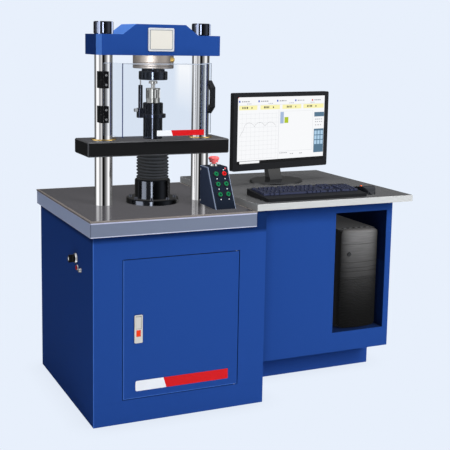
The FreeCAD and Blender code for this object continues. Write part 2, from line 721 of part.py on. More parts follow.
def load_cell():
    """Low disc load cell with two turned grooves, bolted under the crosshead."""
    groove = CELL_GROOVE
    mid = CELL_H * 0.42
    low = CELL_H * 0.16
    cell = turned((0, 0), (CELL_R - 2, 0), (CELL_R, 2), (CELL_R, low), (CELL_R - groove, low + groove),
                  (CELL_R, low + 2 * groove), (CELL_R, mid), (CELL_R - groove, mid + groove),
                  (CELL_R, mid + 2 * groove), (CELL_R, CELL_H - 1), (CELL_R - 1, CELL_H), (0, CELL_H))
    return shifted(cell, PRESS_X, PRESS_Y, CELL_BOTTOM)


def load_cell_socket():
    """Cable socket on the load cell's rim, a flat-backed turned body."""
    turn = FreeCAD.Rotation(UP, SOCKET_TURN).multiply(FreeCAD.Rotation(V(0, 1, 0), 90))
    outward = FreeCAD.Rotation(UP, SOCKET_TURN).multVec(V(1, 0, 0))
    socket = turned((0, -4), (SOCKET_R, -4), (SOCKET_R, 3), (SOCKET_R - 2, 3), (SOCKET_R - 2, SOCKET_OUT),
                    (SOCKET_R - 4, SOCKET_OUT), (SOCKET_R - 4, 4), (0, 4))
    centre = V(PRESS_X, PRESS_Y, CELL_BOTTOM + CELL_H * 0.68) + outward * CELL_R
    socket = moved(socket, FreeCAD.Placement(centre, turn))
    return socket.cut(upright(CELL_R, PRESS_X, PRESS_Y, (CELL_BOTTOM, HEAD_BOTTOM)))


def upper_platen():
    """Bolted neck and thick platen under the load cell."""
    platen = turned((0, PLATEN_BOTTOM), (PLATEN_R - 2, PLATEN_BOTTOM), (PLATEN_R, PLATEN_BOTTOM + 2),
                    (PLATEN_R, PLATEN_TOP - 2), (PLATEN_R - 2, PLATEN_TOP), (NECK_R, PLATEN_TOP),
                    (NECK_R, CELL_BOTTOM), (0, CELL_BOTTOM))
    return shifted(platen, PRESS_X, PRESS_Y, 0)


def moving_beam():
    """Moving crosshead, bored for its two guide bushes."""
    x = (PRESS_X - BEAM_W / 2, PRESS_X + BEAM_W / 2)
    beam = block(x, (PRESS_Y - BEAM_D / 2, PRESS_Y + BEAM_D / 2), (BEAM_BOTTOM, BEAM_TOP))
    beam = beam.makeChamfer(BEAM_CHAMFER, beam.Edges)
    for column in COLUMNS_X:
        beam = beam.cut(upright(BUSH_R, column, PRESS_Y, (BEAM_BOTTOM, BEAM_TOP)))
    return beam


def guide_bushes():
    """Flanged bushes that run on the columns."""
    bore = COLUMN_R + RUNNING_GAP
    bush = turned((bore, BEAM_BOTTOM), (BUSH_R, BEAM_BOTTOM), (BUSH_R, BEAM_TOP), (BUSH_FLANGE_R, BEAM_TOP),
                  (BUSH_FLANGE_R, BEAM_TOP + BUSH_FLANGE_T - 1), (BUSH_FLANGE_R - 1, BEAM_TOP + BUSH_FLANGE_T),
                  (bore, BEAM_TOP + BUSH_FLANGE_T))
    return Part.makeCompound([shifted(bush, x, PRESS_Y, 0) for x in COLUMNS_X])


def cylinder_housing():
    """Flanged actuator: housing with a rounded shoulder above the bed, barrel below it, blind bore."""
    end = BED_BOTTOM - BARREL_BELOW
    bore = RAM_R + RUNNING_GAP
    flange_top = BED_TOP + FLANGE_T
    tip = (HOUSING_R - SHOULDER, HOUSING_TOP)
    slant = SHOULDER * (1 - math.sqrt(0.5))
    bulge = (HOUSING_R - slant, HOUSING_TOP - slant)
    housing = turned((0, end), (BARREL_R - 3, end), (BARREL_R, end + 3), (BARREL_R, BED_TOP), (FLANGE_R, BED_TOP),
                     (FLANGE_R, flange_top - 3), (FLANGE_R - 3, flange_top), (HOUSING_R, flange_top),
                     (HOUSING_R, HOUSING_TOP - SHOULDER), (bulge, tip), (bore, HOUSING_TOP),
                     (bore, end + BARREL_END_T), (0, end + BARREL_END_T))
    return shifted(housing, PRESS_X, PRESS_Y, 0)


def ram():
    """Chromed ram rod, from the beam's underside down into the actuator."""
    low = HOUSING_TOP - RAM_BELOW_HOUSING
    rod = turned((0, low), (RAM_R - 2, low), (RAM_R, low + 2), (RAM_R, BEAM_BOTTOM), (0, BEAM_BOTTOM))
    return shifted(rod, PRESS_X, PRESS_Y, 0)


def bellows():
    """Folded dust bellows with plain cuffs, between the actuator's shoulder and the beam."""
    low = HOUSING_TOP + SEAT_GAP
    high = BEAM_BOTTOM - SEAT_GAP
    pitch = (high - low) / BELLOWS_FOLDS
    outside = []
    inside = []
    for fold in range(BELLOWS_FOLDS):
        base = low + fold * pitch
        outside += [(BELLOWS_IN_R + BELLOWS_T, base), (BELLOWS_OUT_R, base + pitch / 2)]
        inside += [(BELLOWS_IN_R, base), (BELLOWS_OUT_R - BELLOWS_T, base + pitch / 2)]
    outside.append((BELLOWS_IN_R + BELLOWS_T, high))
    inside.append((BELLOWS_IN_R, high))
    return shifted(turned(outside[0], *outside[1:], *reversed(inside)), PRESS_X, PRESS_Y, 0)


def die_post():
    """Stepped tool post on the beam, with a tommy-bar hole."""
    step = CLAMP_BOTTOM - 1
    post = turned((0, BEAM_TOP), (POST_LOWER_R, BEAM_TOP), (POST_LOWER_R, step), (POST_R, step + 1),
                  (POST_R, POST_TOP - 2), (POST_R - 2, POST_TOP), (0, POST_TOP))
    post = shifted(post, PRESS_X, PRESS_Y, 0)
    centre = V(PRESS_X, PRESS_Y, BEAM_TOP + POST_HOLE_Z)
    outward = FreeCAD.Rotation(UP, POST_HOLE_TURN).multVec(V(1, 0, 0))
    return post.cut(bar(POST_HOLE_R, centre, centre + outward * POST_R))


def die_body():
    """Die: bored core inside a windowed cage, on a base ring."""
    bore = PUNCH_R + RUNNING_GAP
    floor = DIE_BASE_H
    cage = turned((0, 0), (DIE_BASE_R, 0), (DIE_BASE_R, DIE_BASE_H - 1), (DIE_R, DIE_BASE_H), (DIE_R, DIE_H - 1),
                  (DIE_R - 1, DIE_H), (bore, DIE_H), (bore, floor), (0, floor))
    window_z = (DIE_BASE_H + 2, DIE_H - DIE_CAP_T)
    for index in range(DIE_WINDOWS):
        window = block((DIE_CORE_R, DIE_R + 1), (-DIE_WINDOW_W / 2, DIE_WINDOW_W / 2), window_z)
        window = window.cut(upright(DIE_CORE_R, 0, 0, window_z))
        turn = FreeCAD.Rotation(UP, 360 * (index + 0.5) / DIE_WINDOWS)
        cage = cage.cut(moved(window, FreeCAD.Placement(V(0, 0, 0), turn)))
    return shifted(cage, PRESS_X, PRESS_Y, POST_TOP)


def punch():
    """Headed punch that slides in the die."""
    low = DIE_TOP - PUNCH_IN_DIE
    head = DIE_TOP + PUNCH_CLEAR
    top = head + PUNCH_HEAD_H
    shape = turned((0, low), (PUNCH_R - 0.5, low), (PUNCH_R, low + 0.5), (PUNCH_R, head - 4), (PUNCH_R + 3, head),
                   (PUNCH_HEAD_R, head), (PUNCH_HEAD_R, top - 3), (PUNCH_HEAD_R - 3, top), (0, top))
    return shifted(shape, PRESS_X, PRESS_Y, 0)


def clamp_ring():
    """Split ring round the post, with an upright block at its left that holds the sensor."""
    ring_z = (CLAMP_BOTTOM, CLAMP_BOTTOM + CLAMP_H)
    body = upright(CLAMP_OUT_R, PRESS_X, PRESS_Y, ring_z)
    body = bevelled(body, 1.0, lambda edge: isinstance(edge.Curve, Part.Circle))
    holder_x = (SENSOR_X - HOLDER_W / 2, SENSOR_X + HOLDER_W / 2)
    holder_z = (CLAMP_BOTTOM, HOLDER_TOP)
    holder = block(holder_x, (PRESS_Y - HOLDER_D / 2, PRESS_Y + HOLDER_D / 2), holder_z)
    holder = softened(holder, 4.0, lambda edge: stands(edge) and edge.CenterOfMass.x < SENSOR_X)
    body = body.fuse(holder)
    body = body.cut(upright(POST_R + SEAT_GAP / 2, PRESS_X, PRESS_Y, holder_z))
    body = body.cut(upright(SENSOR_R + SEAT_GAP / 2, SENSOR_X, PRESS_Y, (SENSOR_Z[0], HOLDER_TOP)))
    split_y = (PRESS_Y - CLAMP_SPLIT / 2, PRESS_Y + CLAMP_SPLIT / 2)
    body = body.cut(block((PRESS_X, PRESS_X + CLAMP_OUT_R), split_y, ring_z))
    hole = bar(SCREW_R + RUNNING_GAP, V(holder_x[0], PRESS_Y, SCREW_Z), V(SENSOR_X, PRESS_Y, SCREW_Z))
    return body.cut(hole).removeSplitter()


def clamp_screw():
    """Thumb screw at the holder's left, pointing at the sensor barrel."""
    seat = SENSOR_X - HOLDER_W / 2 - SEAT_GAP
    head = bar(SCREW_HEAD_R, V(seat - SCREW_HEAD_L, PRESS_Y, SCREW_Z), V(seat, PRESS_Y, SCREW_Z))
    head = bevelled(head, 1.0, lambda edge: isinstance(edge.Curve, Part.Circle))
    tip = SENSOR_X - SENSOR_R - SEAT_GAP
    shank = bar(SCREW_R, V(seat, PRESS_Y, SCREW_Z), V(tip, PRESS_Y, SCREW_Z))
    return fused(head, shank)


def sensor_barrel():
    """Displacement sensor barrel in its holder, bored for the probe."""
    low, top = SENSOR_Z
    bore = PROBE_R + RUNNING_GAP
    floor = top - 3 * PROBE_TRAVEL
    barrel = turned((0, low), (SENSOR_R - 1, low), (SENSOR_R, low + 1), (SENSOR_R, top - 2), (SENSOR_R - 2, top),
                    (bore, top), (bore, floor), (0, floor))
    return shifted(barrel, SENSOR_X, PRESS_Y, 0)


def sensor_probe():
    """Sprung probe whose round tip stands just under the upper platen."""
    tip = PLATEN_BOTTOM - PROBE_GAP
    low = SENSOR_Z[1] - 1.5 * PROBE_TRAVEL
    slant = PROBE_R * (1 - math.sqrt(0.5))
    probe = turned((0, low), (PROBE_R, low), (PROBE_R, tip - PROBE_R), ((PROBE_R - slant, tip - slant), (0, tip)))
    return shifted(probe, SENSOR_X, PRESS_Y, 0)


def guard_window():
    """Clear guard bent from one sheet: two flanges, two returns and a front pane."""
    outside = [(-GUARD_LEFT_OUT, 0), (-GUARD_LEFT_IN, 0), (-GUARD_FRONT_HALF, -GUARD_DEPTH),
               (GUARD_FRONT_HALF, -GUARD_DEPTH), (GUARD_RIGHT_IN, 0), (GUARD_RIGHT_OUT, 0)]
    left, right = [GUARD_T * math.tan(math.atan2(GUARD_DEPTH, flange - GUARD_FRONT_HALF) / 2)
                   for flange in (GUARD_LEFT_IN, GUARD_RIGHT_IN)]
    pane_y = GUARD_T - GUARD_DEPTH
    inside = [(GUARD_RIGHT_OUT, GUARD_T), (GUARD_RIGHT_IN - right, GUARD_T), (GUARD_FRONT_HALF - right, pane_y),
              (left - GUARD_FRONT_HALF, pane_y), (left - GUARD_LEFT_IN, GUARD_T), (-GUARD_LEFT_OUT, GUARD_T)]
    sheet = face_of(in_plan, outside[0], *outside[1:], *inside).extrude(V(0, 0, GUARD_TOP - GUARD_BOTTOM))
    return shifted(sheet, GUARD_X, GUARD_Y, GUARD_BOTTOM)


def guard_hinge_saddles():
    """Saddle blocks on the left column, each with the fixed knuckle and the pin of a hinge."""
    column_x = COLUMNS_X[0]
    saddles = []
    for low in HINGE_Z:
        block_x = (HINGE_X - KNUCKLE_R, HINGE_X - KNUCKLE_R + SADDLE_W)
        back = PRESS_Y - COLUMN_R + COLUMN_R / 2
        saddle_y = (GUARD_Y + GUARD_T + DOOR_GAP, back)
        saddle = block(block_x, saddle_y, (low, low + HINGE_H))
        web = block((HINGE_X - KNUCKLE_R, HINGE_X), (HINGE_Y, saddle_y[0]), (low, low + HINGE_H / 2))
        knuckle = upright(KNUCKLE_R, HINGE_X, HINGE_Y, (low, low + HINGE_H / 2))
        pin = upright(HINGE_PIN_R, HINGE_X, HINGE_Y, (low, low + HINGE_H - 1))
        piece = fused(saddle, web, knuckle, pin)
        saddles.append(piece.cut(upright(COLUMN_R + SEAT_GAP / 2, column_x, PRESS_Y, (low, low + HINGE_H))))
    return Part.makeCompound(saddles)


def guard_hinge_leaves():
    """Moving hinge leaves screwed to the guard's left flange."""
    leaves = []
    for low in HINGE_Z:
        flange_left = GUARD_X - GUARD_LEFT_OUT
        leaf_y = (GUARD_Y - HINGE_LEAF_T, GUARD_Y)
        leaf_z = (low + HINGE_H / 2 + KNUCKLE_GAP, low + HINGE_H)
        upper = block((HINGE_X, flange_left + HINGE_LEAF_W), leaf_y, leaf_z)
        lower_x = (HINGE_X + KNUCKLE_R + KNUCKLE_GAP, flange_left + HINGE_LEAF_W)
        lower = block(lower_x, leaf_y, (low, leaf_z[1]))
        knuckle = upright(KNUCKLE_R, HINGE_X, HINGE_Y, leaf_z)
        leaf = fused(upper, lower, knuckle)
        leaves.append(leaf.cut(upright(HINGE_PIN_R + RUNNING_GAP, HINGE_X, HINGE_Y, leaf_z)))
    return Part.makeCompound(leaves)


def guard_handle():
    """Bridge handle with slanting ends on the guard's right flange."""
    mid_x = GUARD_X + GUARD_RIGHT_OUT - HANDLE_FROM_EDGE
    half = HANDLE_H / 2
    slant = HANDLE_OUT - HANDLE_T
    top = half - HANDLE_FOOT * 0.45
    outer = top - slant * 0.6
    inner = top - slant
    back = HANDLE_T - HANDLE_OUT
    outline = face_of(in_side, (0, -half), (-HANDLE_T / 2, -half), (-HANDLE_OUT, -outer), (-HANDLE_OUT, outer),
                      (-HANDLE_T / 2, half), (0, half), (0, half - HANDLE_FOOT), (back, inner), (back, -inner),
                      (0, HANDLE_FOOT - half))
    handle = outline.extrude(V(HANDLE_W, 0, 0))
    return shifted(handle, mid_x - HANDLE_W / 2, GUARD_Y, HANDLE_MID_Z)


def on_box_face(shape, across, down):
    """Carries a shape made about +Z to the control box's sloping face, down from its top edge."""
    place = FreeCAD.Placement(BOX_CORNER, FACE_TURN)
    return moved(moved(shape, FreeCAD.Placement(V(across, FACE_L - down, 0), FreeCAD.Rotation())), place)


def button_places():
    return [(across, down) for down in BUTTON_ROWS for across in BUTTON_COLUMNS]


def control_box():
    """Wedge housing with a sloping face, drilled for its buttons and the stop switch."""
    back_y = FRONT + BOX_BACK
    outline = face_of(in_side, (FRONT + BOX_FRONT, BED_TOP), (back_y, BED_TOP), (back_y, BOX_TOP),
                      (FRONT + BOX_TOP_FRONT, BOX_TOP))
    box = shifted(outline.extrude(V(BOX_W, 0, 0)), BOX_X[0], 0, 0)
    box = softened(box, BOX_ROUND, lambda edge: edge.CenterOfMass.z > BED_TOP + 1)
    pocket = BUTTON_IN + BUTTON_TRAVEL + 2
    for across, down in button_places():
        box = box.cut(on_box_face(upright(BUTTON_R + SEAT_GAP, 0, 0, (-pocket, 1)), across, down))
    stem_room = 2 * STOP_COLLAR_H + STOP_TRAVEL
    return box.cut(upright(STOP_STEM_R + SEAT_GAP, STOP_X, STOP_Y, (BOX_TOP - stem_room, BOX_TOP)))


def switch_bezels():
    """Rings round the six buttons, and the stop switch's collar."""
    bezel = turned((BUTTON_R + SEAT_GAP, 0), (BUTTON_BEZEL_R, 0), (BUTTON_BEZEL_R, BUTTON_BEZEL_T - 1),
                   (BUTTON_BEZEL_R - 1, BUTTON_BEZEL_T), (BUTTON_R + SEAT_GAP, BUTTON_BEZEL_T))
    rings = [on_box_face(bezel, across, down) for across, down in button_places()]
    collar = turned((STOP_STEM_R + SEAT_GAP, 0), (STOP_COLLAR_R, 0), (STOP_COLLAR_R - 2, STOP_COLLAR_H),
                    (STOP_STEM_R + SEAT_GAP, STOP_COLLAR_H))
    rings.append(shifted(collar, STOP_X, STOP_Y, BOX_TOP))
    return Part.makeCompound(rings)


def push_button(across, down):
    """Round button cap in its bezel."""
    cap = upright(BUTTON_R, 0, 0, (-BUTTON_IN, BUTTON_OUT))
    cap = softened(cap, 1.5, at_height(BUTTON_OUT))
    return on_box_face(cap, across, down)


def indicator_lamp():
    """Small domed lamp near the face's upper right corner."""
    slant = LAMP_R * math.sqrt(0.5)
    dome = turned((0, 0), (LAMP_R, 0), ((slant, slant), (0, LAMP_R)))
    return on_box_face(dome, BUTTON_COLUMNS[1] + BUTTON_R, LAMP_FROM_TOP)


def stop_button():
    """Mushroom stop button with a domed head on its stem."""
    under = STOP_COLLAR_H + STOP_TRAVEL + 0.5
    top = under + STOP_HEAD_H
    head = turned((0, -STOP_COLLAR_H), (STOP_STEM_R, -STOP_COLLAR_H), (STOP_STEM_R, under), (STOP_R - 4, under),
                  (STOP_R - 3, under + 8), ((STOP_R - 1, under + 10), (STOP_R, under + 12)), (STOP_R, top - 5),
                  ((STOP_R - 3, top - 1.6), (STOP_R - 8, top)), (0, top))
    return shifted(head, STOP_X, STOP_Y, BOX_TOP)


def oil_tank():
    """Oil tank on the cabinet floor, with a lipped lid."""
    tank = block(TANK_X, TANK_Y, (SHEET_T, SHEET_T + TANK_H))
    tank = softened(tank, TANK_ROUND, stands)
    lid = block(grown(TANK_X, TANK_LID_LIP), grown(TANK_Y, TANK_LID_LIP), (SHEET_T + TANK_H, LID_TOP))
    lid = softened(lid, TANK_ROUND + TANK_LID_LIP, stands)
    return fused(tank, lid)


def motor_axis():
    """Middle of the motor's finned body, above the tank's lid."""
    z = LID_TOP + MOTOR_R + MOTOR_FIN_H + MOTOR_CLEAR
    return V(TANK_X[0] + TANK_W * 0.4, sum(TANK_Y) / 2 + MOTOR_FROM_MIDDLE, z)


def pump_motor():
    """Finned electric motor lying on the tank, with end bells, feet and a terminal box."""
    centre = motor_axis()
    fin_r = MOTOR_R + MOTOR_FIN_H
    step = 2 * math.pi / MOTOR_FINS
    points = []
    for fin in range(MOTOR_FINS):
        for share, radius in ((0, MOTOR_R), (0.55, MOTOR_R), (0.62, fin_r), (0.93, fin_r)):
            angle = (fin + share) * step
            points.append(V(0, radius * math.cos(angle), radius * math.sin(angle)))
    body = Part.Face(Part.makePolygon(points + points[:1])).extrude(V(MOTOR_L, 0, 0))
    body = shifted(body, -MOTOR_L / 2, 0, 0)
    reach = MOTOR_L / 2 + MOTOR_BELL_L
    bells = bar(MOTOR_R - 4, V(-reach, 0, 0), V(reach, 0, 0))
    bells = bevelled(bells, 6.0, lambda edge: isinstance(edge.Curve, Part.Circle))
    floor = LID_TOP - centre.z
    feet = block((-MOTOR_L / 3, MOTOR_L / 3), (-MOTOR_R, MOTOR_R), (floor, floor + MOTOR_FOOT_T))
    stand = block((-MOTOR_L / 3, MOTOR_L / 3), (-MOTOR_R / 2, MOTOR_R / 2), (floor, 0))
    box_top = MOTOR_R + MOTOR_FIN_H + TERMINAL_H
    terminal = block((-TERMINAL_W / 2, TERMINAL_W / 2), (-TERMINAL_D / 2, TERMINAL_D / 2), (0, box_top))
    terminal = softened(terminal, 4.0, lambda edge: edge.CenterOfMass.z > box_top - 1)
    return moved(fused(body, bells, feet, stand, terminal), FreeCAD.Placement(centre, FreeCAD.Rotation()))


def pump_manifold():
    """Gear pump on the motor's end, the valve block with two solenoids beside it, and the pipe from the block."""
    centre = motor_axis()
    start = centre + V(MOTOR_L / 2 + MOTOR_BELL_L, 0, 0)
    pump = bar(PUMP_R, start, start + V(PUMP_L, 0, 0))
    pump = bevelled(pump, 4.0, lambda edge: isinstance(edge.Curve, Part.Circle))
    block_x = (TANK_X[1] - MANIFOLD_W, TANK_X[1])
    block_y = (TANK_Y[0], TANK_Y[0] + MANIFOLD_D)
    manifold = block(block_x, block_y, (LID_TOP, LID_TOP + MANIFOLD_H))
    manifold = bevelled(manifold, 2.0, stands)
    solenoids = []
    for height in (0.35, 0.75):
        z = LID_TOP + MANIFOLD_H * height
        mid_y = sum(block_y) / 2
        solenoids.append(bar(SOLENOID_R, V(block_x[0], mid_y, z), V(block_x[0] - SOLENOID_L, mid_y, z)))
    return Part.makeCompound([pump, fused(manifold, *solenoids), pressure_pipe()])


def pressure_pipe():
    """Steel pipe from the top of the valve block to the port near the foot of the actuator barrel."""
    start = V(TANK_X[1] - MANIFOLD_W / 2, TANK_Y[0] + MANIFOLD_D / 2, LID_TOP + MANIFOLD_H)
    port_z = BED_BOTTOM - BARREL_BELOW + 2 * BARREL_END_T
    port_y = PRESS_Y + BARREL_R
    lift = port_z - start.z
    rise = Part.makeLine(start, start + V(0, 0, lift - PIPE_BEND))
    middle = start + V(0, -PIPE_BEND * (1 - math.sqrt(0.5)), lift - PIPE_BEND * (1 - math.sqrt(0.5)))
    bend_end = start + V(0, -PIPE_BEND, lift)
    bend = Part.Arc(start + V(0, 0, lift - PIPE_BEND), middle, bend_end).toShape()
    run = Part.makeLine(bend_end, V(start.x, port_y + 2, port_z))
    path = Part.Wire([rise, bend, run])
    section = Part.Wire([Part.makeCircle(PIPE_R, start, UP)])
    pipe = path.makePipeShell([section], True, True)
    union = bar(UNION_R, V(start.x, port_y + UNION_L, port_z), V(start.x, PRESS_Y, port_z))
    union = union.cut(upright(BARREL_R, PRESS_X, PRESS_Y, grown((port_z, port_z), 2 * UNION_R)))
    collar = upright(UNION_R, start.x, start.y, (start.z, start.z + COLLAR_H))
    return fused(pipe, union, collar)


def desk_top():
    """Desk top with eased edges, resting on the cabinet's strip and the pedestal."""
    top = block((BED_RIGHT, RIGHT), (FRONT, BACK), (BED_TOP, DESK_TOP))
    return softened(top, 2.0, lambda edge: not stands(edge) and abs(edge.CenterOfMass.z - DESK_TOP) < 0.1)


def desk_pedestal():
    """Sheet pedestal with a lined bay for the tower, open below inside its seat on the plinth."""
    inner_x = grown(PEDESTAL_X, -SHEET_T)
    inner_y = grown(PEDESTAL_Y, -SHEET_T)
    body = block(PEDESTAL_X, PEDESTAL_Y, (PEDESTAL_BOTTOM, BED_TOP))
    hollow = block(inner_x, inner_y, (PEDESTAL_BOTTOM + SHEET_T, BED_TOP - SHEET_T))
    floor_z = (PEDESTAL_BOTTOM, PEDESTAL_BOTTOM + SHEET_T)
    hollow = hollow.fuse(block(grown(PLINTH_X, -TOP_FLANGE_W), grown(PLINTH_Y, -TOP_FLANGE_W), floor_z))
    lining = block(grown(BAY_X, SHEET_T), (BAY_Y[0], BAY_Y[1] + SHEET_T), grown(BAY_Z, SHEET_T))
    body = body.cut(hollow.cut(lining))
    body = body.cut(block(BAY_X, BAY_Y, BAY_Z))
    return body.removeSplitter()


def desk_plinth():
    """Set-back plinth frame under the pedestal."""
    frame = block(PLINTH_X, PLINTH_Y, (0, PEDESTAL_BOTTOM))
    inside = block(grown(PLINTH_X, -SHEET_T), grown(PLINTH_Y, -SHEET_T), (0, PEDESTAL_BOTTOM - SHEET_T))
    middle = block(grown(PLINTH_X, -TOP_FLANGE_W), grown(PLINTH_Y, -TOP_FLANGE_W), (0, PEDESTAL_BOTTOM))
    return frame.cut(inside).cut(middle)


def tower_case():
    """Computer case on four feet."""
    case = block(TOWER_X, CASE_Y, (TOWER_Z[0] + TOWER_FOOT, TOWER_Z[1]))
    feet = []
    for x in grown(TOWER_X, -TOWER_FOOT_IN_X):
        for y in grown(CASE_Y, -TOWER_FOOT_IN_Y):
            feet.append(upright(TOWER_FOOT_R, x, y, (TOWER_Z[0], TOWER_Z[0] + TOWER_FOOT)))
    return fused(case, *feet)


def tower_fascia():
    """Bowed front with turned-in sides, level grooves and the power button's pocket."""
    mid = sum(TOWER_X) / 2
    half = TOWER_W / 2
    edge_y = FASCIA_Y + FASCIA_BULGE
    outline = face_of(in_plan, (mid - half, CASE_Y[0]), (mid - half, edge_y),
                      ((mid, FASCIA_Y), (mid + half, edge_y)), (mid + half, CASE_Y[0]))
    low = TOWER_Z[0] + TOWER_FOOT
    fascia = shifted(outline.extrude(V(0, 0, TOWER_Z[1] - low)), 0, 0, low)
    fascia = softened(fascia, FASCIA_TOP_ROUND,
                      lambda edge: at_height(TOWER_Z[1])(edge) and edge.CenterOfMass.y < CASE_Y[0] - 1)
    front_view = block(TOWER_X, (FASCIA_Y - 1, CASE_Y[0]), (low, TOWER_Z[1]))
    fascia = fascia.common(softened(front_view, FASCIA_ROUND, lambda edge: runs_along(edge, V(0, 1, 0))))
    shell = outline.extrude(V(0, 0, GROOVE_W))
    core = shifted(outline.extrude(V(0, 0, GROOVE_W)), 0, GROOVE_DEPTH, 0)
    groove = shell.cut(core)
    for down in FASCIA_GROOVES:
        fascia = fascia.cut(shifted(groove, 0, 0, TOWER_Z[1] - down))
    power = power_place()
    return fascia.cut(bar(POWER_R + SEAT_GAP, power + V(0, -FASCIA_BULGE, 0), power + V(0, POWER_R, 0)))


def power_place():
    """Point on the fascia where the power button sits, a little behind the surface."""
    return V(TOWER_X[0] + POWER_LEFT, FASCIA_Y + FASCIA_BULGE / 2, TOWER_Z[1] - POWER_DOWN)


def power_button():
    """Round power button in the fascia."""
    place = power_place()
    front = place + V(0, -FASCIA_BULGE / 4 - 1, 0)
    cap = bar(POWER_R, front, place + V(0, POWER_R - 3, 0))
    return softened(cap, 1.0, lambda edge: abs(edge.CenterOfMass.y - front.y) < 0.1)


def monitor_stand():
    """Oval foot with a flattened dome, and a broad neck that sweeps back and up to the tilt pin."""
    foot = upright(STAND_RX, 0, 0, (0, STAND_T))
    foot = bevelled(foot, STAND_T * 0.6, at_height(STAND_T))
    squeeze = FreeCAD.Matrix()
    squeeze.scale(1, STAND_RY / STAND_RX, 1)
    foot = shifted(foot.transformGeometry(squeeze), 0, -STAND_FORWARD, 0)
    tilt = TILT_CENTRE_Z - DESK_TOP
    half = STAND_NECK_T / 2
    low = STAND_T / 2
    top = tilt + TILT_PIN_R + 3
    toe = STAND_TOE_IN - half - STAND_FORWARD
    heel = toe + STAND_NECK_FOOT_T
    bend_z = STAND_NECK_STRAIGHT * STAND_NECK_BEND
    straight = STAND_NECK_STRAIGHT
    profile = face_of(in_side, (half, top), (-half, top), (-half, straight), ((-half - 6, bend_z), (toe, low)),
                      (heel, low), ((half - 2, bend_z), (half, straight)))
    neck = shifted(profile.extrude(V(STAND_NECK_W, 0, 0)), -STAND_NECK_W / 2, 0, 0)
    pin = bar(TILT_PIN_R, V(-STAND_NECK_W / 2 - TILT_EAR_W, 0, tilt), V(STAND_NECK_W / 2 + TILT_EAR_W, 0, tilt))
    return moved(shifted(fused(foot, neck, pin), 0, TILT_Y, DESK_TOP), SCREEN_PLACE)


def monitor_housing():
    """Bezel frame with a softened back, and ears that turn on the stand's pin."""
    half = MONITOR_W / 2
    z = (MONITOR_BOTTOM, MONITOR_BOTTOM + MONITOR_H)
    frame = block((-half, half), (0, MONITOR_FRAME_T), z)
    frame = softened(frame, 6.0, lambda edge: runs_along(edge, V(0, 1, 0)))
    back_y = (MONITOR_FRAME_T, MONITOR_FRAME_T + MONITOR_BACK_T)
    back = block(grown((-half, half), -MONITOR_BACK_INSET), back_y, grown(z, -MONITOR_BACK_INSET))
    back = bevelled(back, MONITOR_BACK_SLOPE, at_depth(back_y[1]))
    body = frame.fuse(back)
    for side in (-1, 1):
        near = side * (STAND_NECK_W / 2 + 1)
        far = side * (STAND_NECK_W / 2 + TILT_EAR_W)
        limits = (min(near, far), max(near, far))
        eye = grown((TILT_CENTRE_Z, TILT_CENTRE_Z), TILT_PIN_R + TILT_EYE_T)
        ends = (V(near, TILT_Y, TILT_CENTRE_Z), V(far, TILT_Y, TILT_CENTRE_Z))
        ear = block(limits, (back_y[1] - 2, TILT_Y), eye)
        body = body.fuse(ear).fuse(bar(TILT_PIN_R + TILT_EYE_T, *ends))
        body = body.cut(bar(TILT_PIN_R + RUNNING_GAP, *ends))
    opening_x = grown((-half, half), -BEZEL_SIDE)
    opening_z = (z[0] + BEZEL_BOTTOM, z[1] - BEZEL_TOP)
    body = body.cut(block(opening_x, (0, SCREEN_RECESS + SCREEN_T), opening_z))
    return moved(body.removeSplitter(), SCREEN_PLACE)


def monitor_screen():
    """Display panel in the bezel."""
    x = grown((-MONITOR_W / 2, MONITOR_W / 2), -BEZEL_SIDE)
    z = (MONITOR_BOTTOM + BEZEL_BOTTOM, MONITOR_BOTTOM + MONITOR_H - BEZEL_TOP)
    return moved(block(x, (SCREEN_RECESS, SCREEN_RECESS + SCREEN_T), z), SCREEN_PLACE)


def keyboard_place(shape):
    """Carries a shape made at the keyboard's front-left corner to the desk."""
    return shifted(shape, BED_RIGHT + KEYBOARD_X, FRONT + KEYBOARD_Y, DESK_TOP)


def keyboard_case():
    """Wedge keyboard case with rounded corners."""
    outline = face_of(in_side, (0, 0), (KEYBOARD_D, 0), (KEYBOARD_D, KEYBOARD_BACK_H), (0, KEYBOARD_FRONT_H))
    case = outline.extrude(V(KEYBOARD_W, 0, 0))
    case = softened(case, 4.0, stands)
    return keyboard_place(case)


def key_rows():
    """Widths of the keys of each row, from the front, in key pitches."""
    letters = [[1.5, 1, 1.25, 6.5, 1.25, 1, 1, 1.5], [2.25] + [1] * 10 + [2.75], [1.75] + [1] * 11 + [2.25],
               [1.5] + [1] * 12 + [1.5], [1] * 13 + [2], [1, 0] + [1] * 4 + [0] + [1] * 4 + [0] + [1] * 4]
    arrows = [[1, 1, 1], [0, 1, 0], [0, 0, 0], [1, 1, 1], [1, 1, 1], [1, 1, 1]]
    numbers = [[2, 1, 1], [1, 1, 1, 1], [1, 1, 1, 1], [1, 1, 1, 1], [1, 1, 1, 1], [0, 0, 0, 0]]
    return letters, arrows, numbers


def keycap(width):
    """Tapered keycap of a width in pitches."""
    wide = width * KEY_PITCH - KEY_GAP
    deep = KEY_PITCH - KEY_GAP
    low = Part.makePolygon([V(0, 0, 0), V(wide, 0, 0), V(wide, deep, 0), V(0, deep, 0), V(0, 0, 0)])
    taper = KEY_TAPER
    high = Part.makePolygon([V(taper, taper, KEY_H), V(wide - taper, taper, KEY_H),
                             V(wide - taper, deep - taper, KEY_H), V(taper, deep - taper, KEY_H),
                             V(taper, taper, KEY_H)])
    return Part.makeLoft([low, high], True, True)


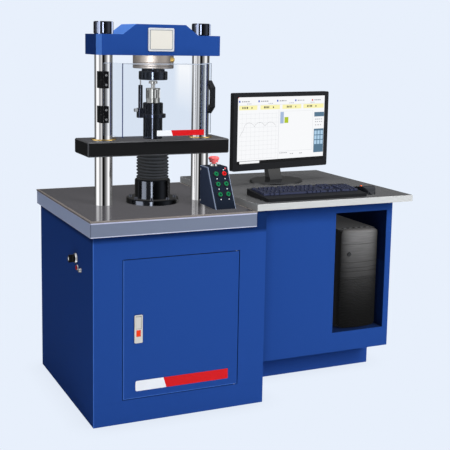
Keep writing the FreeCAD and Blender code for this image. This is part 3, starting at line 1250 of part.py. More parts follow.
def keyboard_keys():
    """Keycaps of the three banks on their common mat. A width of nothing leaves a space in the row."""
    tilt = math.degrees(math.atan2(KEYBOARD_BACK_H - KEYBOARD_FRONT_H, KEYBOARD_D))
    mat = block((KEY_MARGIN, KEYBOARD_W - KEY_MARGIN), (KEY_PALM, KEYBOARD_D - KEY_MARGIN), (0, KEY_MAT_T))
    caps = [mat]
    for rows, bank_x in zip(key_rows(), BANKS_X):
        for row, widths in enumerate(rows):
            gap = KEY_GAP if row == KEY_ROWS - 1 else 0
            y = KEY_PALM + KEYS_BEHIND_PALM + row * KEY_PITCH + gap
            space = 1 / 2 if bank_x == KEY_MARGIN else 1
            x = bank_x
            for width in widths:
                if width:
                    caps.append(shifted(keycap(width), x, y, KEY_MAT_T))
                x += (width or space) * KEY_PITCH
    keys = caps[0].fuse(caps[1:]).removeSplitter()
    slope = FreeCAD.Placement(V(0, 0, KEYBOARD_FRONT_H), FreeCAD.Rotation(V(1, 0, 0), tilt))
    return keyboard_place(moved(keys, slope))


def mouse_form(shrink):
    """Rounded mouse body about its own left front corner, made smaller all over by a margin."""
    wide = MOUSE_W - 2 * shrink
    long = MOUSE_L - 2 * shrink
    high = MOUSE_H - shrink
    nose = wide * 0.22
    tail = long - nose * 0.5
    plan = face_of(in_plan, (nose, 0), ((wide / 2, -nose * 0.35), (wide - nose, 0)), (wide, nose),
                   ((wide, long * 0.6), (wide - nose, tail)), ((wide / 2, long), (nose, tail)),
                   ((0, long * 0.6), (0, nose)))
    side = face_of(in_side, (-nose, 0), (long, 0), ((long * 0.93, high * 0.62), (long * 0.62, high)),
                   ((long * 0.25, high * 0.78), (-nose, high * 0.36)))
    body = plan.extrude(V(0, 0, high + 1)).common(shifted(side.extrude(V(wide + 2, 0, 0)), -1, 0, 0))
    return shifted(body, shrink, shrink, 0)


def mouse_place(shape):
    """Carries a shape made with the mouse's nose at the front to the desk, turned to point away from the user."""
    corner = V(BED_RIGHT + MOUSE_X + MOUSE_W / 2, FRONT + MOUSE_Y + MOUSE_L, DESK_TOP)
    return moved(shape, FreeCAD.Placement(corner, FreeCAD.Rotation(UP, 180)))


def mouse_front(side):
    """Space of one button: the nose part of the shell on one side of the wheel, before the mouse is turned."""
    mid = MOUSE_W / 2
    slot = WHEEL_W / 2 + MOUSE_SEAM
    x = (-1, mid - slot) if side < 0 else (mid + slot, MOUSE_W + 1)
    return block(x, (-MOUSE_L, MOUSE_SPLIT), (MOUSE_H * 0.3, MOUSE_H + 1))


def mouse_shell():
    """Mouse body behind and below the buttons, with the wheel's slot."""
    body = mouse_form(0)
    core = mouse_form(MOUSE_SKIN + 1.5)
    mid = MOUSE_W / 2
    lid = block((-1, MOUSE_W + 1), (-MOUSE_L, MOUSE_SPLIT + MOUSE_SEAM), (MOUSE_H * 0.3 - MOUSE_SEAM, MOUSE_H + 1))
    body = body.cut(lid).fuse(core)
    slot = block((mid - WHEEL_W / 2 - MOUSE_SEAM, mid + WHEEL_W / 2 + MOUSE_SEAM),
                 (MOUSE_SPLIT * 0.48 - WHEEL_R - 1, MOUSE_SPLIT * 0.48 + WHEEL_R + 1), (6, MOUSE_H + 1))
    return mouse_place(body.cut(slot).removeSplitter())


def mouse_button(side):
    """One of the two front buttons, a curved shell that stands clear of the body."""
    shell = mouse_form(0).cut(mouse_form(MOUSE_SKIN - 1))
    return mouse_place(shell.common(mouse_front(side)))


def mouse_wheel():
    """Scroll wheel in its slot between the buttons."""
    mid = MOUSE_W / 2
    y = MOUSE_SPLIT * 0.48
    z = MOUSE_H * 0.78 - WHEEL_R * 0.55
    wheel = bar(WHEEL_R, V(mid - WHEEL_W / 2, y, z), V(mid + WHEEL_W / 2, y, z))
    return mouse_place(bevelled(wheel, 1.0, lambda edge: isinstance(edge.Curve, Part.Circle)))


PIECES = {
    "cabinet_shell": cabinet_shell,
    "door_pivot_pins": door_pivot_pins,
    "cabinet_door": cabinet_door,
    "lock_plate": lock_plate,
    "lock_paddle": lock_paddle,
    "lock_push": lock_push,
    "side_bezels": side_bezels,
    "side_knob": side_knob,
    "side_push": side_push,
    "bed_plate": bed_plate,
    "guide_columns": guide_columns,
    "column_nuts": column_nuts,
    "upper_crosshead": upper_crosshead,
    "load_cell": load_cell,
    "load_cell_socket": load_cell_socket,
    "upper_platen": upper_platen,
    "moving_beam": moving_beam,
    "guide_bushes": guide_bushes,
    "cylinder_housing": cylinder_housing,
    "ram": ram,
    "bellows": bellows,
    "die_post": die_post,
    "die_body": die_body,
    "punch": punch,
    "clamp_ring": clamp_ring,
    "clamp_screw": clamp_screw,
    "sensor_barrel": sensor_barrel,
    "sensor_probe": sensor_probe,
    "guard_window": guard_window,
    "guard_hinge_saddles": guard_hinge_saddles,
    "guard_hinge_leaves": guard_hinge_leaves,
    "guard_handle": guard_handle,
    "control_box": control_box,
    "switch_bezels": switch_bezels,
    "indicator_lamp": indicator_lamp,
    "stop_button": stop_button,
    "oil_tank": oil_tank,
    "pump_motor": pump_motor,
    "pump_manifold": pump_manifold,
    "desk_top": desk_top,
    "desk_pedestal": desk_pedestal,
    "desk_plinth": desk_plinth,
    "tower_case": tower_case,
    "tower_fascia": tower_fascia,
    "power_button": power_button,
    "monitor_stand": monitor_stand,
    "monitor_housing": monitor_housing,
    "monitor_screen": monitor_screen,
    "keyboard_case": keyboard_case,
    "keyboard_keys": keyboard_keys,
    "mouse_shell": mouse_shell,
    "mouse_wheel": mouse_wheel,
}

shapes = {name: make() for name, make in PIECES.items()}
for number, (across, down) in enumerate(button_places(), 1):
    shapes[f"push_button_{number}"] = push_button(across, down)
shapes["mouse_button_left"] = mouse_button(1)
shapes["mouse_button_right"] = mouse_button(-1)

os.makedirs("parts", exist_ok=True)
for name, shape in shapes.items():
    shape.exportStep(f"parts/{name}.step")
    limits = shape.BoundBox
    print(name, len(shape.Solids), "solids", "valid" if shape.isValid() else "NOT VALID",
          [round(v, 1) for v in (limits.XMin, limits.XMax, limits.YMin, limits.YMax, limits.ZMin, limits.ZMax)])
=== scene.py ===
# %% [markdown]
# Powder compaction density tester: the looks.
#
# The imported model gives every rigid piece. This script paints those pieces with procedural materials,
# adds the small things that are only looks (plates, bolts, dots, the picture on the screen, the legends
# of the keys), swaps the plain bellows for a folded rubber one, and then sets the light and the camera.
# Lengths are metres, +Z is up.

# %% Load the model
import json
import math

import bpy
import numpy as np
from mathutils import Matrix, Vector

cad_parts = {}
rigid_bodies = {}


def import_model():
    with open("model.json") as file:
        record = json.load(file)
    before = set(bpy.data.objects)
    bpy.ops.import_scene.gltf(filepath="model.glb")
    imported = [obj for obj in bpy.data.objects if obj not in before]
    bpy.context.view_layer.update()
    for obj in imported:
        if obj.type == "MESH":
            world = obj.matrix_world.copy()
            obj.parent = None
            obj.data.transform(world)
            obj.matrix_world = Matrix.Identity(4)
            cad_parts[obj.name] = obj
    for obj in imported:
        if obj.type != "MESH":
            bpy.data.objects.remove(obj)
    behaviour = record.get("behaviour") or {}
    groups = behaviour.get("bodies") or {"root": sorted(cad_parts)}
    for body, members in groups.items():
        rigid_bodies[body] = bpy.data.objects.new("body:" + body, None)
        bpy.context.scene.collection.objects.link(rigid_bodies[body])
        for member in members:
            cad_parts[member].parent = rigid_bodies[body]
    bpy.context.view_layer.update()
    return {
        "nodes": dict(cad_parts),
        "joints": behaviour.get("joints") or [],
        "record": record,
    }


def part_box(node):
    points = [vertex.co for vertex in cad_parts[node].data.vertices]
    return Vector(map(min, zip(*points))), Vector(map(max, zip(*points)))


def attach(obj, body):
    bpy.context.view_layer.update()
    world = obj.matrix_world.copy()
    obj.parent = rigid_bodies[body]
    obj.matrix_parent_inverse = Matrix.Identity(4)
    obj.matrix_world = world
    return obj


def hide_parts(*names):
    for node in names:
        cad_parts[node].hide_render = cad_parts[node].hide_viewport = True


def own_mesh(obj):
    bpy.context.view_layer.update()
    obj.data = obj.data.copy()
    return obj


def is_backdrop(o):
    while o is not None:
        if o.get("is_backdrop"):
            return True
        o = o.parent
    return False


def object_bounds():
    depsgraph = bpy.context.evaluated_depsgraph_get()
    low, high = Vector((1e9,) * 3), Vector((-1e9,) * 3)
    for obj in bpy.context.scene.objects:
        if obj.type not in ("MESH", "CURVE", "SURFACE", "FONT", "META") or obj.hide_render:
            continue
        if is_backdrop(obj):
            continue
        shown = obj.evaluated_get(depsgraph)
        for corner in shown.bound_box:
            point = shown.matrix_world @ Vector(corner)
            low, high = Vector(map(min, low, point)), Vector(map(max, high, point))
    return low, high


for leftover in list(bpy.data.objects):
    bpy.data.objects.remove(leftover)
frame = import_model()
nodes = frame["nodes"]

# %% [markdown]
# Small helpers. A *part* is a pair of vertices and faces; parts are placed, joined, and made into one
# object that rides on a body of the model. Curved parts are grids of points worked out by numpy.

# %% Helpers for shapes
MM = 0.001


def grid_faces(rows, columns):
    """Quads of a grid of points whose last column is joined to its first."""
    i, j = np.mgrid[:rows - 1, :columns]
    low, high = i * columns, (i + 1) * columns
    k = (j + 1) % columns
    return np.stack([low + j, low + k, high + k, high + j], -1).reshape(-1, 4).tolist()


def lathe(profile, segments=32):
    """Turns a profile of (radius, height) pairs about Z.

    Point (i, j) is (r_i cos a_j, r_i sin a_j, z_i) with a_j = 2 pi j / segments.
    """
    radius, height = np.array(profile, float).T
    angle = np.arange(segments) * 2 * np.pi / segments
    x = radius[:, None] * np.cos(angle)
    y = radius[:, None] * np.sin(angle)
    z = np.repeat(height[:, None], segments, axis=1)
    return np.stack([x, y, z], -1).reshape(-1, 3), grid_faces(len(profile), segments)


def rounded_outline(width, height, corner, steps=6):
    """Outline of a rectangle about the origin with its corners rounded, anticlockwise.

    A corner's arc turns a quarter about a point that lies its radius in from both sides.
    """
    angle = np.linspace(0, np.pi / 2, steps) + np.arange(4)[:, None] * np.pi / 2
    centre = np.array([(1, 1), (-1, 1), (-1, -1), (1, -1)]) * (np.array([width, height]) / 2 - corner)
    arcs = centre[:, None] + corner * np.stack([np.cos(angle), np.sin(angle)], -1)
    return arcs.reshape(-1, 2)


def slab(outline, thickness, ease=0.0):
    """Plate over an outline in X and Y, from z = 0 up, its upper edge eased by a small slope."""
    base = np.array(outline, float)
    middle = base.mean(0)
    reach = np.abs(base - middle).max()
    rings = [(1.0, 0.0), (1.0, thickness - ease), (1.0 - ease / reach, thickness)]
    vertices = [np.column_stack([middle + (base - middle) * s, np.full(len(base), z)]) for s, z in rings]
    count = len(base)
    faces = grid_faces(3, count) + [tuple(range(2 * count, 3 * count)), tuple(range(count))[::-1]]
    return np.concatenate(vertices), faces


def brick(low, high):
    """Box between two corners."""
    x0, y0, z0 = low
    x1, y1, z1 = high
    outline = ((x0, y0), (x1, y0), (x1, y1), (x0, y1))
    vertices = np.array([(x, y, z) for z in (z0, z1) for x, y in outline], float)
    faces = [(3, 2, 1, 0), (4, 5, 6, 7), (0, 1, 5, 4), (1, 2, 6, 5), (2, 3, 7, 6), (3, 0, 4, 7)]
    return vertices, faces


def placed(part, origin, across=(1, 0, 0), up=(0, 0, 1)):
    """Moves a part made in X (across), Y (up the plate) and Z (out of the plate) to its place."""
    turn = np.array([across, up, np.cross(across, up)])
    return part[0] @ turn + np.array(origin), part[1]


def joined(parts):
    """Several parts as one."""
    vertices, faces, start = [], [], 0
    for points, quads in parts:
        vertices.append(points)
        faces += [tuple(start + i for i in face) for face in quads]
        start += len(points)
    return np.concatenate(vertices), faces


def piece(name, part, material, body, slot, smooth=False):
    """Makes a part an object that rides on a body and has the given material. slot is not used."""
    mesh = bpy.data.meshes.new(name)
    mesh.from_pydata(part[0].tolist(), [], part[1])
    mesh.materials.append(material)
    mesh.polygons.foreach_set("use_smooth", [smooth] * len(mesh.polygons))
    mesh.update()
    made = bpy.data.objects.new(name, mesh)
    bpy.context.scene.collection.objects.link(made)
    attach(made, body)
    return made


def centre_of(node):
    low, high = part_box(node)
    return (low + high) / 2


# %% [markdown]
# Helpers for materials. Every material is made of nodes. Colours are given as they look on a screen, 0 to
# 255, and turned to linear light here. Grain and scratches read Object coordinates, so they stay on their
# piece. A *field* is a number at each point of a surface. Fields are added, multiplied and compared as
# numbers are, and each sign makes a Math node; a comparison is 1 where it holds and 0 elsewhere, and |
# takes the larger of two.

# %% Helpers for materials


def light(*screen):
    """Linear colour of a colour on the screen."""
    share = np.array(screen) / 255
    linear = np.where(share <= 0.04045, share / 12.92, ((share + 0.055) / 1.055) ** 2.4)
    return (*linear.tolist(), 1.0)


def darker(colour, share):
    """A colour at a share of its light."""
    return tuple(share * c for c in colour[:3]) + (1.0,)


def feed(tree, socket, value):
    """Sets an input to a number or colour, or links a field or a socket to it."""
    if isinstance(value, (int, float, tuple)):
        socket.default_value = value
    else:
        tree.links.new(getattr(value, "socket", value), socket)


def maths(tree, operation, *values):
    """Field that a Math node works out from numbers, fields or sockets."""
    node = tree.nodes.new("ShaderNodeMath")
    node.operation = operation
    for socket, value in zip(node.inputs, values):
        feed(tree, socket, value)
    return Field(tree, node.outputs[0])


class Field:
    """A number at each point of a surface, held as a socket of a node tree."""

    def __init__(self, tree, socket):
        self.tree = tree
        self.socket = socket

    def __rsub__(self, other):
        return maths(self.tree, "SUBTRACT", other, self)

    def held(self):
        """Held between 0 and 1."""
        return maths(self.tree, "MINIMUM", self | 0.0, 1.0)


def sign(operation):
    """Method that works an operation out on a field and another value."""
    return lambda field, *others: maths(field.tree, operation, field, *others)


for name, operation in {"add": "ADD", "sub": "SUBTRACT", "mul": "MULTIPLY", "truediv": "DIVIDE", "pow": "POWER",
                        "gt": "GREATER_THAN", "lt": "LESS_THAN", "or": "MAXIMUM", "abs": "ABSOLUTE"}.items():
    setattr(Field, f"__{name}__", sign(operation))


class Paint:
    """A material with its node tree, the coordinates of the object, and a main surface node."""

    def __init__(self, name, colour, rough, metal=0.0, shine=0.5):
        self.material = bpy.data.materials.new(name)
        self.material.use_nodes = True
        self.tree = self.material.node_tree
        self.surface = self.tree.nodes["Principled BSDF"]
        self.set(Base_Color=colour, Roughness=rough, Metallic=metal, Specular_IOR_Level=shine)
        self.place = self.tree.nodes.new("ShaderNodeTexCoord").outputs["Object"]
        self.base = colour
        self.rough = rough

    def set(self, **values):
        """Feeds inputs of the surface, named with underscores for spaces."""
        for label, value in values.items():
            feed(self.tree, self.surface.inputs[label.replace("_", " ")], value)
        return self

    def shown(self, surface):
        """Takes a node's output as the material's surface."""
        feed(self.tree, self.tree.nodes["Material Output"].inputs["Surface"], surface)
        return self

    def add(self, kind, **settings):
        """New node. Settings name its properties, or its inputs by their labels with underscores."""
        node = self.tree.nodes.new(kind)
        for key, value in settings.items():
            if hasattr(node, key):
                setattr(node, key, value)
            else:
                feed(self.tree, node.inputs[key.replace("_", " ")], value)
        return node

    def noise(self, scale, detail=3.0, stretch=(1, 1, 1)):
        """Noise of a scale per metre, drawn out along the axes by a stretch."""
        mapping = self.add("ShaderNodeMapping", Scale=stretch, Vector=self.place)
        node = self.add("ShaderNodeTexNoise", Scale=scale, Detail=detail, Vector=mapping.outputs[0])
        return Field(self.tree, node.outputs["Fac"])

    def ranged(self, value, low, high):
        """Value from 0 to 1 spread between two limits."""
        node = self.add("ShaderNodeMapRange", Value=value, To_Min=low, To_Max=high)
        return Field(self.tree, node.outputs["Result"])

    def vary_rough(self, scale, spread, stretch=(1, 1, 1)):
        """Lets the roughness wander about its value."""
        grain = self.noise(scale, 3.0, stretch)
        return self.set(Roughness=self.ranged(grain, self.rough - spread, self.rough + spread))

    def bump(self, height, distance, strength=1.0):
        """Raises the surface by a height field."""
        node = self.add("ShaderNodeBump", Strength=strength, Distance=distance, Height=height)
        return self.set(Normal=node.outputs[0])

    def mix(self, share, first, second):
        """Mixes two colours by a share from 0 to 1."""
        node = self.add("ShaderNodeMix", data_type="RGBA")
        for index, value in ((0, share), (6, first), (7, second)):
            feed(self.tree, node.inputs[index], value)
        return node.outputs[2]

    def blend(self, share, first, second):
        """Mixes two surfaces by a share from 0 to 1."""
        node = self.add("ShaderNodeMixShader")
        for socket, value in zip(node.inputs, (share, first.outputs[0], second.outputs[0])):
            feed(self.tree, socket, value)
        return node

    def split(self, vector):
        """Fields of a vector's three parts."""
        node = self.add("ShaderNodeSeparateXYZ")
        feed(self.tree, node.inputs[0], vector)
        return [Field(self.tree, part) for part in node.outputs]

    def facing(self):
        """Fields of the true normal's three parts."""
        return self.split(self.add("ShaderNodeNewGeometry").outputs["True Normal"])

    def where(self):
        """Fields of the place's x, y and z."""
        return self.split(self.place)

    def turned(self, axes):
        """Gives the sides of upright turned pieces their round normal, free of the flats of the mesh.

        With the radial direction e from the nearer axis (one or two axes, given as x, y) and the true normal n, a
        face that looks along e, |n . e| > 0.9 sqrt(1 - n_z^2), takes the normal (e_x s, e_y s, n_z), where
        s = sqrt(1 - n_z^2) with the sign of n . e.
        """
        (left, back), (right, _) = axes[0], axes[-1]
        x, y, _ = self.where()
        nx, ny, nz = self.facing()
        ex = x - ((x > (left + right) / 2) * (right - left) + left)
        ey = y - back
        far = maths(self.tree, "SQRT", ex * ex + ey * ey)
        ex, ey = ex / far, ey / far
        along = nx * ex + ny * ey
        flat = maths(self.tree, "SQRT", (1.0 - nz * nz) | 0.0)
        size = flat * maths(self.tree, "SIGN", along)
        smooth = self.add("ShaderNodeCombineXYZ", X=ex * size, Y=ey * size, Z=nz)
        chosen = self.add("ShaderNodeMix", data_type="VECTOR")
        plain = self.add("ShaderNodeNewGeometry").outputs["Normal"]
        for index, value in ((0, abs(along) > flat * 0.9), (4, plain), (5, smooth.outputs[0])):
            feed(self.tree, chosen.inputs[index], value)
        return self.set(Normal=chosen.outputs[1])


def sheet_paint(name, colour, rough=0.4, shine=0.01, shade=0.3):
    """Powder-coated sheet: faint orange peel, little gloss, with painted shade in its corners that fades out near
    the floor.
    """
    paint = Paint(name, colour, rough, shine=shine)
    paint.bump(paint.noise(700.0, 2.0), 0.00006, 0.2)
    # Painted shade: ambient occlusion darkens the colour in corners, under edges and between parts, fading out
    # near the floor.
    corners = paint.add("ShaderNodeAmbientOcclusion", samples=12, Distance=0.09)
    clear_of_floor = maths(paint.tree, "MINIMUM", 2.2 - paint.where()[2] / 0.06, 1.0)
    unshaded_share = Field(paint.tree, corners.outputs["AO"]) ** 1.6 | clear_of_floor
    paint.base = paint.mix(unshaded_share, darker(colour, shade), colour)
    return paint.set(Base_Color=paint.base)


def bevel_light(paint, colour, share=1.0, limit=0.97, lit_only=False):
    """Paints the faces that slope between the main directions a lighter colour: a painted highlight on the
    bevels.

    lit_only keeps it to the slopes that look to the left or upwards.
    """
    x, y, z = paint.facing()
    slope = ((abs(x) | abs(y) | abs(z)) < limit) * share
    if lit_only:
        slope = slope * ((x < -0.2) | (z > 0.2))
    return paint.set(Base_Color=paint.mix(slope, paint.base, colour))


def moulded(name, colour, rough, shine=0.12):
    """Moulded plastic with a fine grain."""
    paint = Paint(name, colour, rough, shine=shine)
    return paint.bump(paint.noise(2600.0, 2.0), 0.00003, 0.2).vary_rough(60.0, 0.04)


def ground_metal(name, colour, rough, stretch=(1, 1, 1), scale=120.0, spread=0.04):
    """Ground or turned metal: its roughness wanders in fine scratches drawn out along one way."""
    return Paint(name, colour, rough, metal=1.0).vary_rough(scale, spread, stretch)


# %% [markdown]
# The paints and metals of the whole object. The bed has one of its own: grey paint round its edge, and on
# top a dark polished sheet with a plain strip along the rim. Its places come from the bed's own box.

# %% Make the materials
BLUE = light(36, 72, 143)
# Lighter colour put on the keys' bevels as a painted highlight.
KEY_EDGE_HIGHLIGHT = light(62, 68, 98)
# Light grey put on the beam's chamfers as a painted highlight.
BEAM_EDGE_HIGHLIGHT = light(120, 120, 122)
paints = {
    # The crosshead's slopes that face left or up take a painted highlight, a lighter blue.
    "crosshead_blue": bevel_light(sheet_paint("crosshead blue", BLUE), light(88, 138, 226), lit_only=True),
    "plinth_navy": sheet_paint("plinth navy", light(40, 76, 152), 0.45),
    "chrome": ground_metal("hard chrome", light(228, 228, 230), 0.06, (1, 1, 0.05), 300.0, 0.01),
    "dark_steel": ground_metal("blackened steel", light(40, 43, 54), 0.13, (1, 1, 8), 90.0, 0.02),
    "cell_steel": ground_metal("turned stainless steel", light(218, 206, 198), 0.34, (1, 1, 30), 60.0),
    "tool_steel": ground_metal("ground tool steel", light(190, 189, 186), 0.26, (1, 1, 0.1), 400.0),
    "zinc_steel": ground_metal("zinc plated steel", light(170, 172, 176), 0.34, (1, 1, 1), 200.0),
    "lock_grey": sheet_paint("lock grey", light(212, 207, 197), 0.4, 0.3),
    "brass": ground_metal("turned brass", light(246, 206, 120), 0.2, (1, 1, 20), 80.0),
    "black_rubber": Paint("bellows rubber", light(27, 30, 35), 0.52),
    "black_plastic": moulded("black plastic", light(28, 29, 32), 0.42),
    "mouse_plastic": moulded("mouse plastic", light(30, 32, 38), 0.26, 0.6),
    "bolt_steel": ground_metal("blackened bolt steel", light(96, 100, 110), 0.22, (1, 1, 1), 200.0),
    "gloss_black": moulded("gloss black plastic", light(12, 13, 15), 0.12, 0.5),
    # The keys' bevels take a painted highlight.
    "key_black": bevel_light(moulded("key plastic", light(22, 25, 37), 0.4, 0.3), KEY_EDGE_HIGHLIGHT, 0.6, 0.985),
    "stand_black": moulded("stand plastic", light(30, 31, 33), 0.1, 0.7),
    "red_plastic": moulded("red plastic", light(214, 28, 32), 0.25),
    "salmon_plastic": moulded("stop button plastic", light(255, 118, 118), 0.35),
    "lock_orange": moulded("lock push plastic", light(248, 62, 24), 0.35),
    "green_plastic": moulded("green plastic", light(12, 116, 70), 0.25),
    "ring_black": moulded("ring plastic", light(18, 22, 26), 0.2, 0.5),
    "pink_plastic": moulded("pink lens", light(232, 110, 118), 0.15),
    "orange_plastic": moulded("orange plastic", light(232, 96, 44), 0.3),
    "white_plastic": moulded("white plastic", light(238, 239, 240), 0.4),
    "pump_grey": sheet_paint("machinery grey", light(88, 96, 104), 0.45),
    "black_paint": sheet_paint("smooth black paint", light(22, 22, 24), 0.3, 0.1),
    # Painted light: the tower's top takes a lighter grey than its sides, as if lit.
    "painted_lit_case_top": moulded("lit case top", light(92, 92, 92), 0.5, 0.1),
    # Painted sheen: the beam's top takes a lighter grey than its black sides.
    "painted_lit_beam_top": sheet_paint("lit beam top", light(74, 74, 77), 0.35, 0.1, 1.0),
}
paints["black_rubber"].bump(paints["black_rubber"].noise(900.0), 0.00008, 0.3)

column_low, column_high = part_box("guide_columns")
column_r = (column_high.y - column_low.y) / 2
column_y = column_low.y + column_r
COLUMN_AXES = [(column_low.x + column_r, column_y), (column_high.x - column_r, column_y)]


def axis_of(node):
    """Upright axis through the middle of a piece."""
    return [tuple(centre_of(node).xy)]


PRESS_AXIS = axis_of("bellows")
TURNED = {
    "guide_columns": ((228, 228, 230), 0.05, COLUMN_AXES), "column_nuts": ((52, 56, 66), 0.12, COLUMN_AXES),
    "cylinder_housing": ((28, 30, 34), 0.15, PRESS_AXIS), "load_cell": ((180, 171, 165), 0.5, PRESS_AXIS),
    "upper_platen": ((46, 50, 58), 0.12, PRESS_AXIS), "die_post": ((32, 34, 40), 0.14, PRESS_AXIS),
    "die_body": ((196, 195, 192), 0.2, PRESS_AXIS), "punch": ((206, 205, 203), 0.16, axis_of("punch")),
    "sensor_barrel": ((34, 36, 42), 0.16, axis_of("sensor_barrel")), "ram": ((228, 228, 230), 0.06, PRESS_AXIS),
}
for name, (colour, rough, axes) in TURNED.items():
    paints[name] = ground_metal("turned " + name, light(*colour), rough, (1, 1, 8), 90.0, 0.015).turned(axes)


def bed_paint():
    """Grey paint, painted lighter on its left side, with painted highlights as pale lines along its edges; on top
    a dark polished sheet with a brownish strip as rim.
    """
    low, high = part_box("bed_plate")
    sheet, strip = 5 * MM, 9 * MM
    paint = Paint("bed paint and sheet", light(116, 124, 142), 0.34, shine=0.1)
    x, y, z = paint.where()
    # Painted light: the left side takes a lighter colour, and the pale lines along the top, bottom and front left
    # edges are painted highlights.
    sides = paint.mix(paint.facing()[0] < -0.9, paint.base, light(199, 208, 233))
    lines = (z > high.z - sheet - 4.5 * MM) | (z < low.z + 3 * MM) | (x + y < low.x + low.y + 4.5 * MM)
    sides = paint.mix(lines * 0.8, sides, light(208, 210, 232))
    inside = (x > low.x + strip) * (x < high.x - strip) * (y > low.y + strip) * (y < high.y - strip)
    inside = inside * (z > high.z - 0.6 * MM)
    rimmed = paint.mix(z > high.z - sheet, sides, light(128, 120, 114))
    paint.set(Base_Color=paint.mix(inside, rimmed, light(88, 86, 90)))
    return paint.set(Specular_IOR_Level=inside * 0.3 + 0.1, Roughness=paint.rough - inside * 0.24)


def desk_paint():
    """Light grey edge and a dark grey, slightly glossy top."""
    paint = Paint("desk sheet", light(196, 196, 193), 0.4, shine=0.25)
    top = paint.where()[2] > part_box("desk_top")[1].z - 0.5 * MM
    paint.set(Base_Color=paint.mix(top, paint.base, light(92, 92, 93)), Roughness=0.42 - top * 0.16)
    return paint.bump(paint.noise(900.0, 2.0), 0.00004, 0.2)


def cabinet_paint():
    """Cabinet blue with a painted highlight as a thin light line at its front left edge, and painted shade under
    the bed's edge.
    """
    paint = sheet_paint("cabinet blue", BLUE)
    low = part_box("cabinet_shell")[0]
    x, y, z = paint.where()
    # Painted highlight along the front left edge, then painted shade under the bed's edge.
    highlighted_edge = paint.mix((x < low.x + 2.5 * MM) * (y < low.y + 2.5 * MM), paint.base, light(64, 106, 186))
    under = ((z - (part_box("bed_plate")[0].z - 26 * MM)) / (14 * MM)).held()
    return paint.set(Base_Color=paint.mix(under * 0.8, highlighted_edge, darker(BLUE, 0.22)))


def door_paint():
    """Cabinet blue with a painted highlight along its outer left and bottom edges."""
    paint = sheet_paint("door blue", BLUE)
    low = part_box("cabinet_door")[0]
    x, y, z = paint.where()
    # Painted highlight: a lighter blue along the door's left and bottom edges.
    lines = (x < low.x + 3 * MM) | (z < low.z + 2.5 * MM)
    return paint.set(Base_Color=paint.mix(lines, paint.base, light(62, 102, 178)))


def pedestal_paint():
    """Cabinet blue with painted shade beside the cabinet and in its bay, darkest at the bay's top."""
    paint = sheet_paint("pedestal blue", BLUE)
    low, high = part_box("desk_pedestal")
    x, y, z = paint.where()
    inside = (y > low.y + 4 * MM) * (y < high.y - 1 * MM) * (x > low.x + 1 * MM) * (x < high.x - 6 * MM)
    # Painted shade: the bay takes darker copies of the blue, and the front darkens towards the cabinet.
    shade = paint.mix(z > high.z - 0.26, darker(BLUE, 0.34), darker(BLUE, 0.2))
    beside = (low.x + 55 * MM - x) / (55 * MM) | 0.0
    front = paint.mix(beside * 0.6, paint.base, darker(BLUE, 0.35))
    return paint.set(Base_Color=paint.mix(inside, front, shade))


def box_paint():
    """Dark navy paint, painted lighter on its left side, with a painted highlight on the bevels between the sides
    and the front.
    """
    paint = sheet_paint("control box navy", light(29, 36, 49), 0.34)
    across = paint.facing()[0]
    # Painted light on the left side, and a painted highlight on the bevels.
    painted_lit_side = paint.mix(across < -0.98, paint.base, light(84, 97, 124))
    bevel = (abs(across) > 0.15) * (abs(across) < 0.98)
    return paint.set(Base_Color=paint.mix(bevel, painted_lit_side, light(138, 150, 172)))


def fascia_paint():
    """Charcoal front of the tower with a painted highlight, brightest at its top and in its middle, and fine wavy
    level lines.
    """
    low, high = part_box("tower_fascia")
    paint = Paint("tower fascia", light(17, 17, 17), 0.45, shine=0.08)
    x, y, z = paint.where()
    up = (z - low.z) / (high.z - low.z)
    aside = abs(x - (low.x + high.x) / 2) / ((high.x - low.x) / 2)
    streaks = paint.ranged(paint.noise(55.0, 4.0, (0.25, 1, 4)), 0.6, 1.25)
    # Painted highlight: lighter towards the top and the middle, broken into streaks.
    lit = (up | 0.0) ** 2.4 * ((1.0 - aside ** 3.0 * 0.9) * streaks)
    paint.set(Base_Color=paint.mix(lit, paint.base, light(128, 126, 124)))
    wave = maths(paint.tree, "SINE", x * 70.0) * 0.0025
    line = maths(paint.tree, "SINE", (z + wave) * (2 * math.pi / 0.0065))
    return paint.bump(line * (up < 0.52), 0.0012)


def acrylic():
    """Clear sheet: nearly transparent, more of a mirror at grazing angles, with a painted reflection: a pale
    streak that glows on its front.
    """
    paint = Paint("clear acrylic", light(235, 243, 250), 0.02)
    through = paint.add("ShaderNodeBsdfTransparent", Color=light(247, 249, 251))
    shine = paint.add("ShaderNodeBsdfGlossy", Roughness=0.05, Color=light(190, 200, 214))
    grazing = Field(paint.tree, paint.add("ShaderNodeLayerWeight", Blend=0.5).outputs["Facing"])
    low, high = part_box("guard_window")
    x, y, z = paint.where()
    # Painted reflection: a pale glowing streak down the front pane, fading downwards.
    streak = (1.8 - abs(x - -0.240) / 0.022).held()
    drips = paint.ranged(paint.noise(60.0, 2.0, (1, 1, 0.02)), -0.25, 0.25)
    fade = ((z - (low.z + 0.09)) / (0.6 * (high.z - low.z)) + drips).held()
    white = paint.add("ShaderNodeEmission", Color=light(250, 252, 255))
    lit = paint.blend(streak * fade * (y < low.y + 1 * MM) * 0.9, through, white)
    return paint.shown(paint.blend(grazing ** 6.0 * 0.35 + 0.015, lit, shine).outputs[0])


paints |= {
    "cabinet_blue": cabinet_paint(), "door": door_paint(), "pedestal": pedestal_paint(),
    "bed_steel": bed_paint(), "desk_sheet": desk_paint(), "navy_paint": box_paint(), "fascia": fascia_paint(),
    # The beam's chamfers take a painted highlight in light grey.
    "beam": bevel_light(sheet_paint("beam black", light(27, 27, 28), 0.35, 0.06, 1.0), BEAM_EDGE_HIGHLIGHT, 0.55, 0.9),
    "acrylic": acrylic(),
    "acrylic_edge": Paint("acrylic edge", light(120, 132, 158), 0.2).set(Alpha=0.75),
    "screen_glass": Paint("screen", light(250, 251, 252), 0.3),
}
print("made", len(paints), "materials")

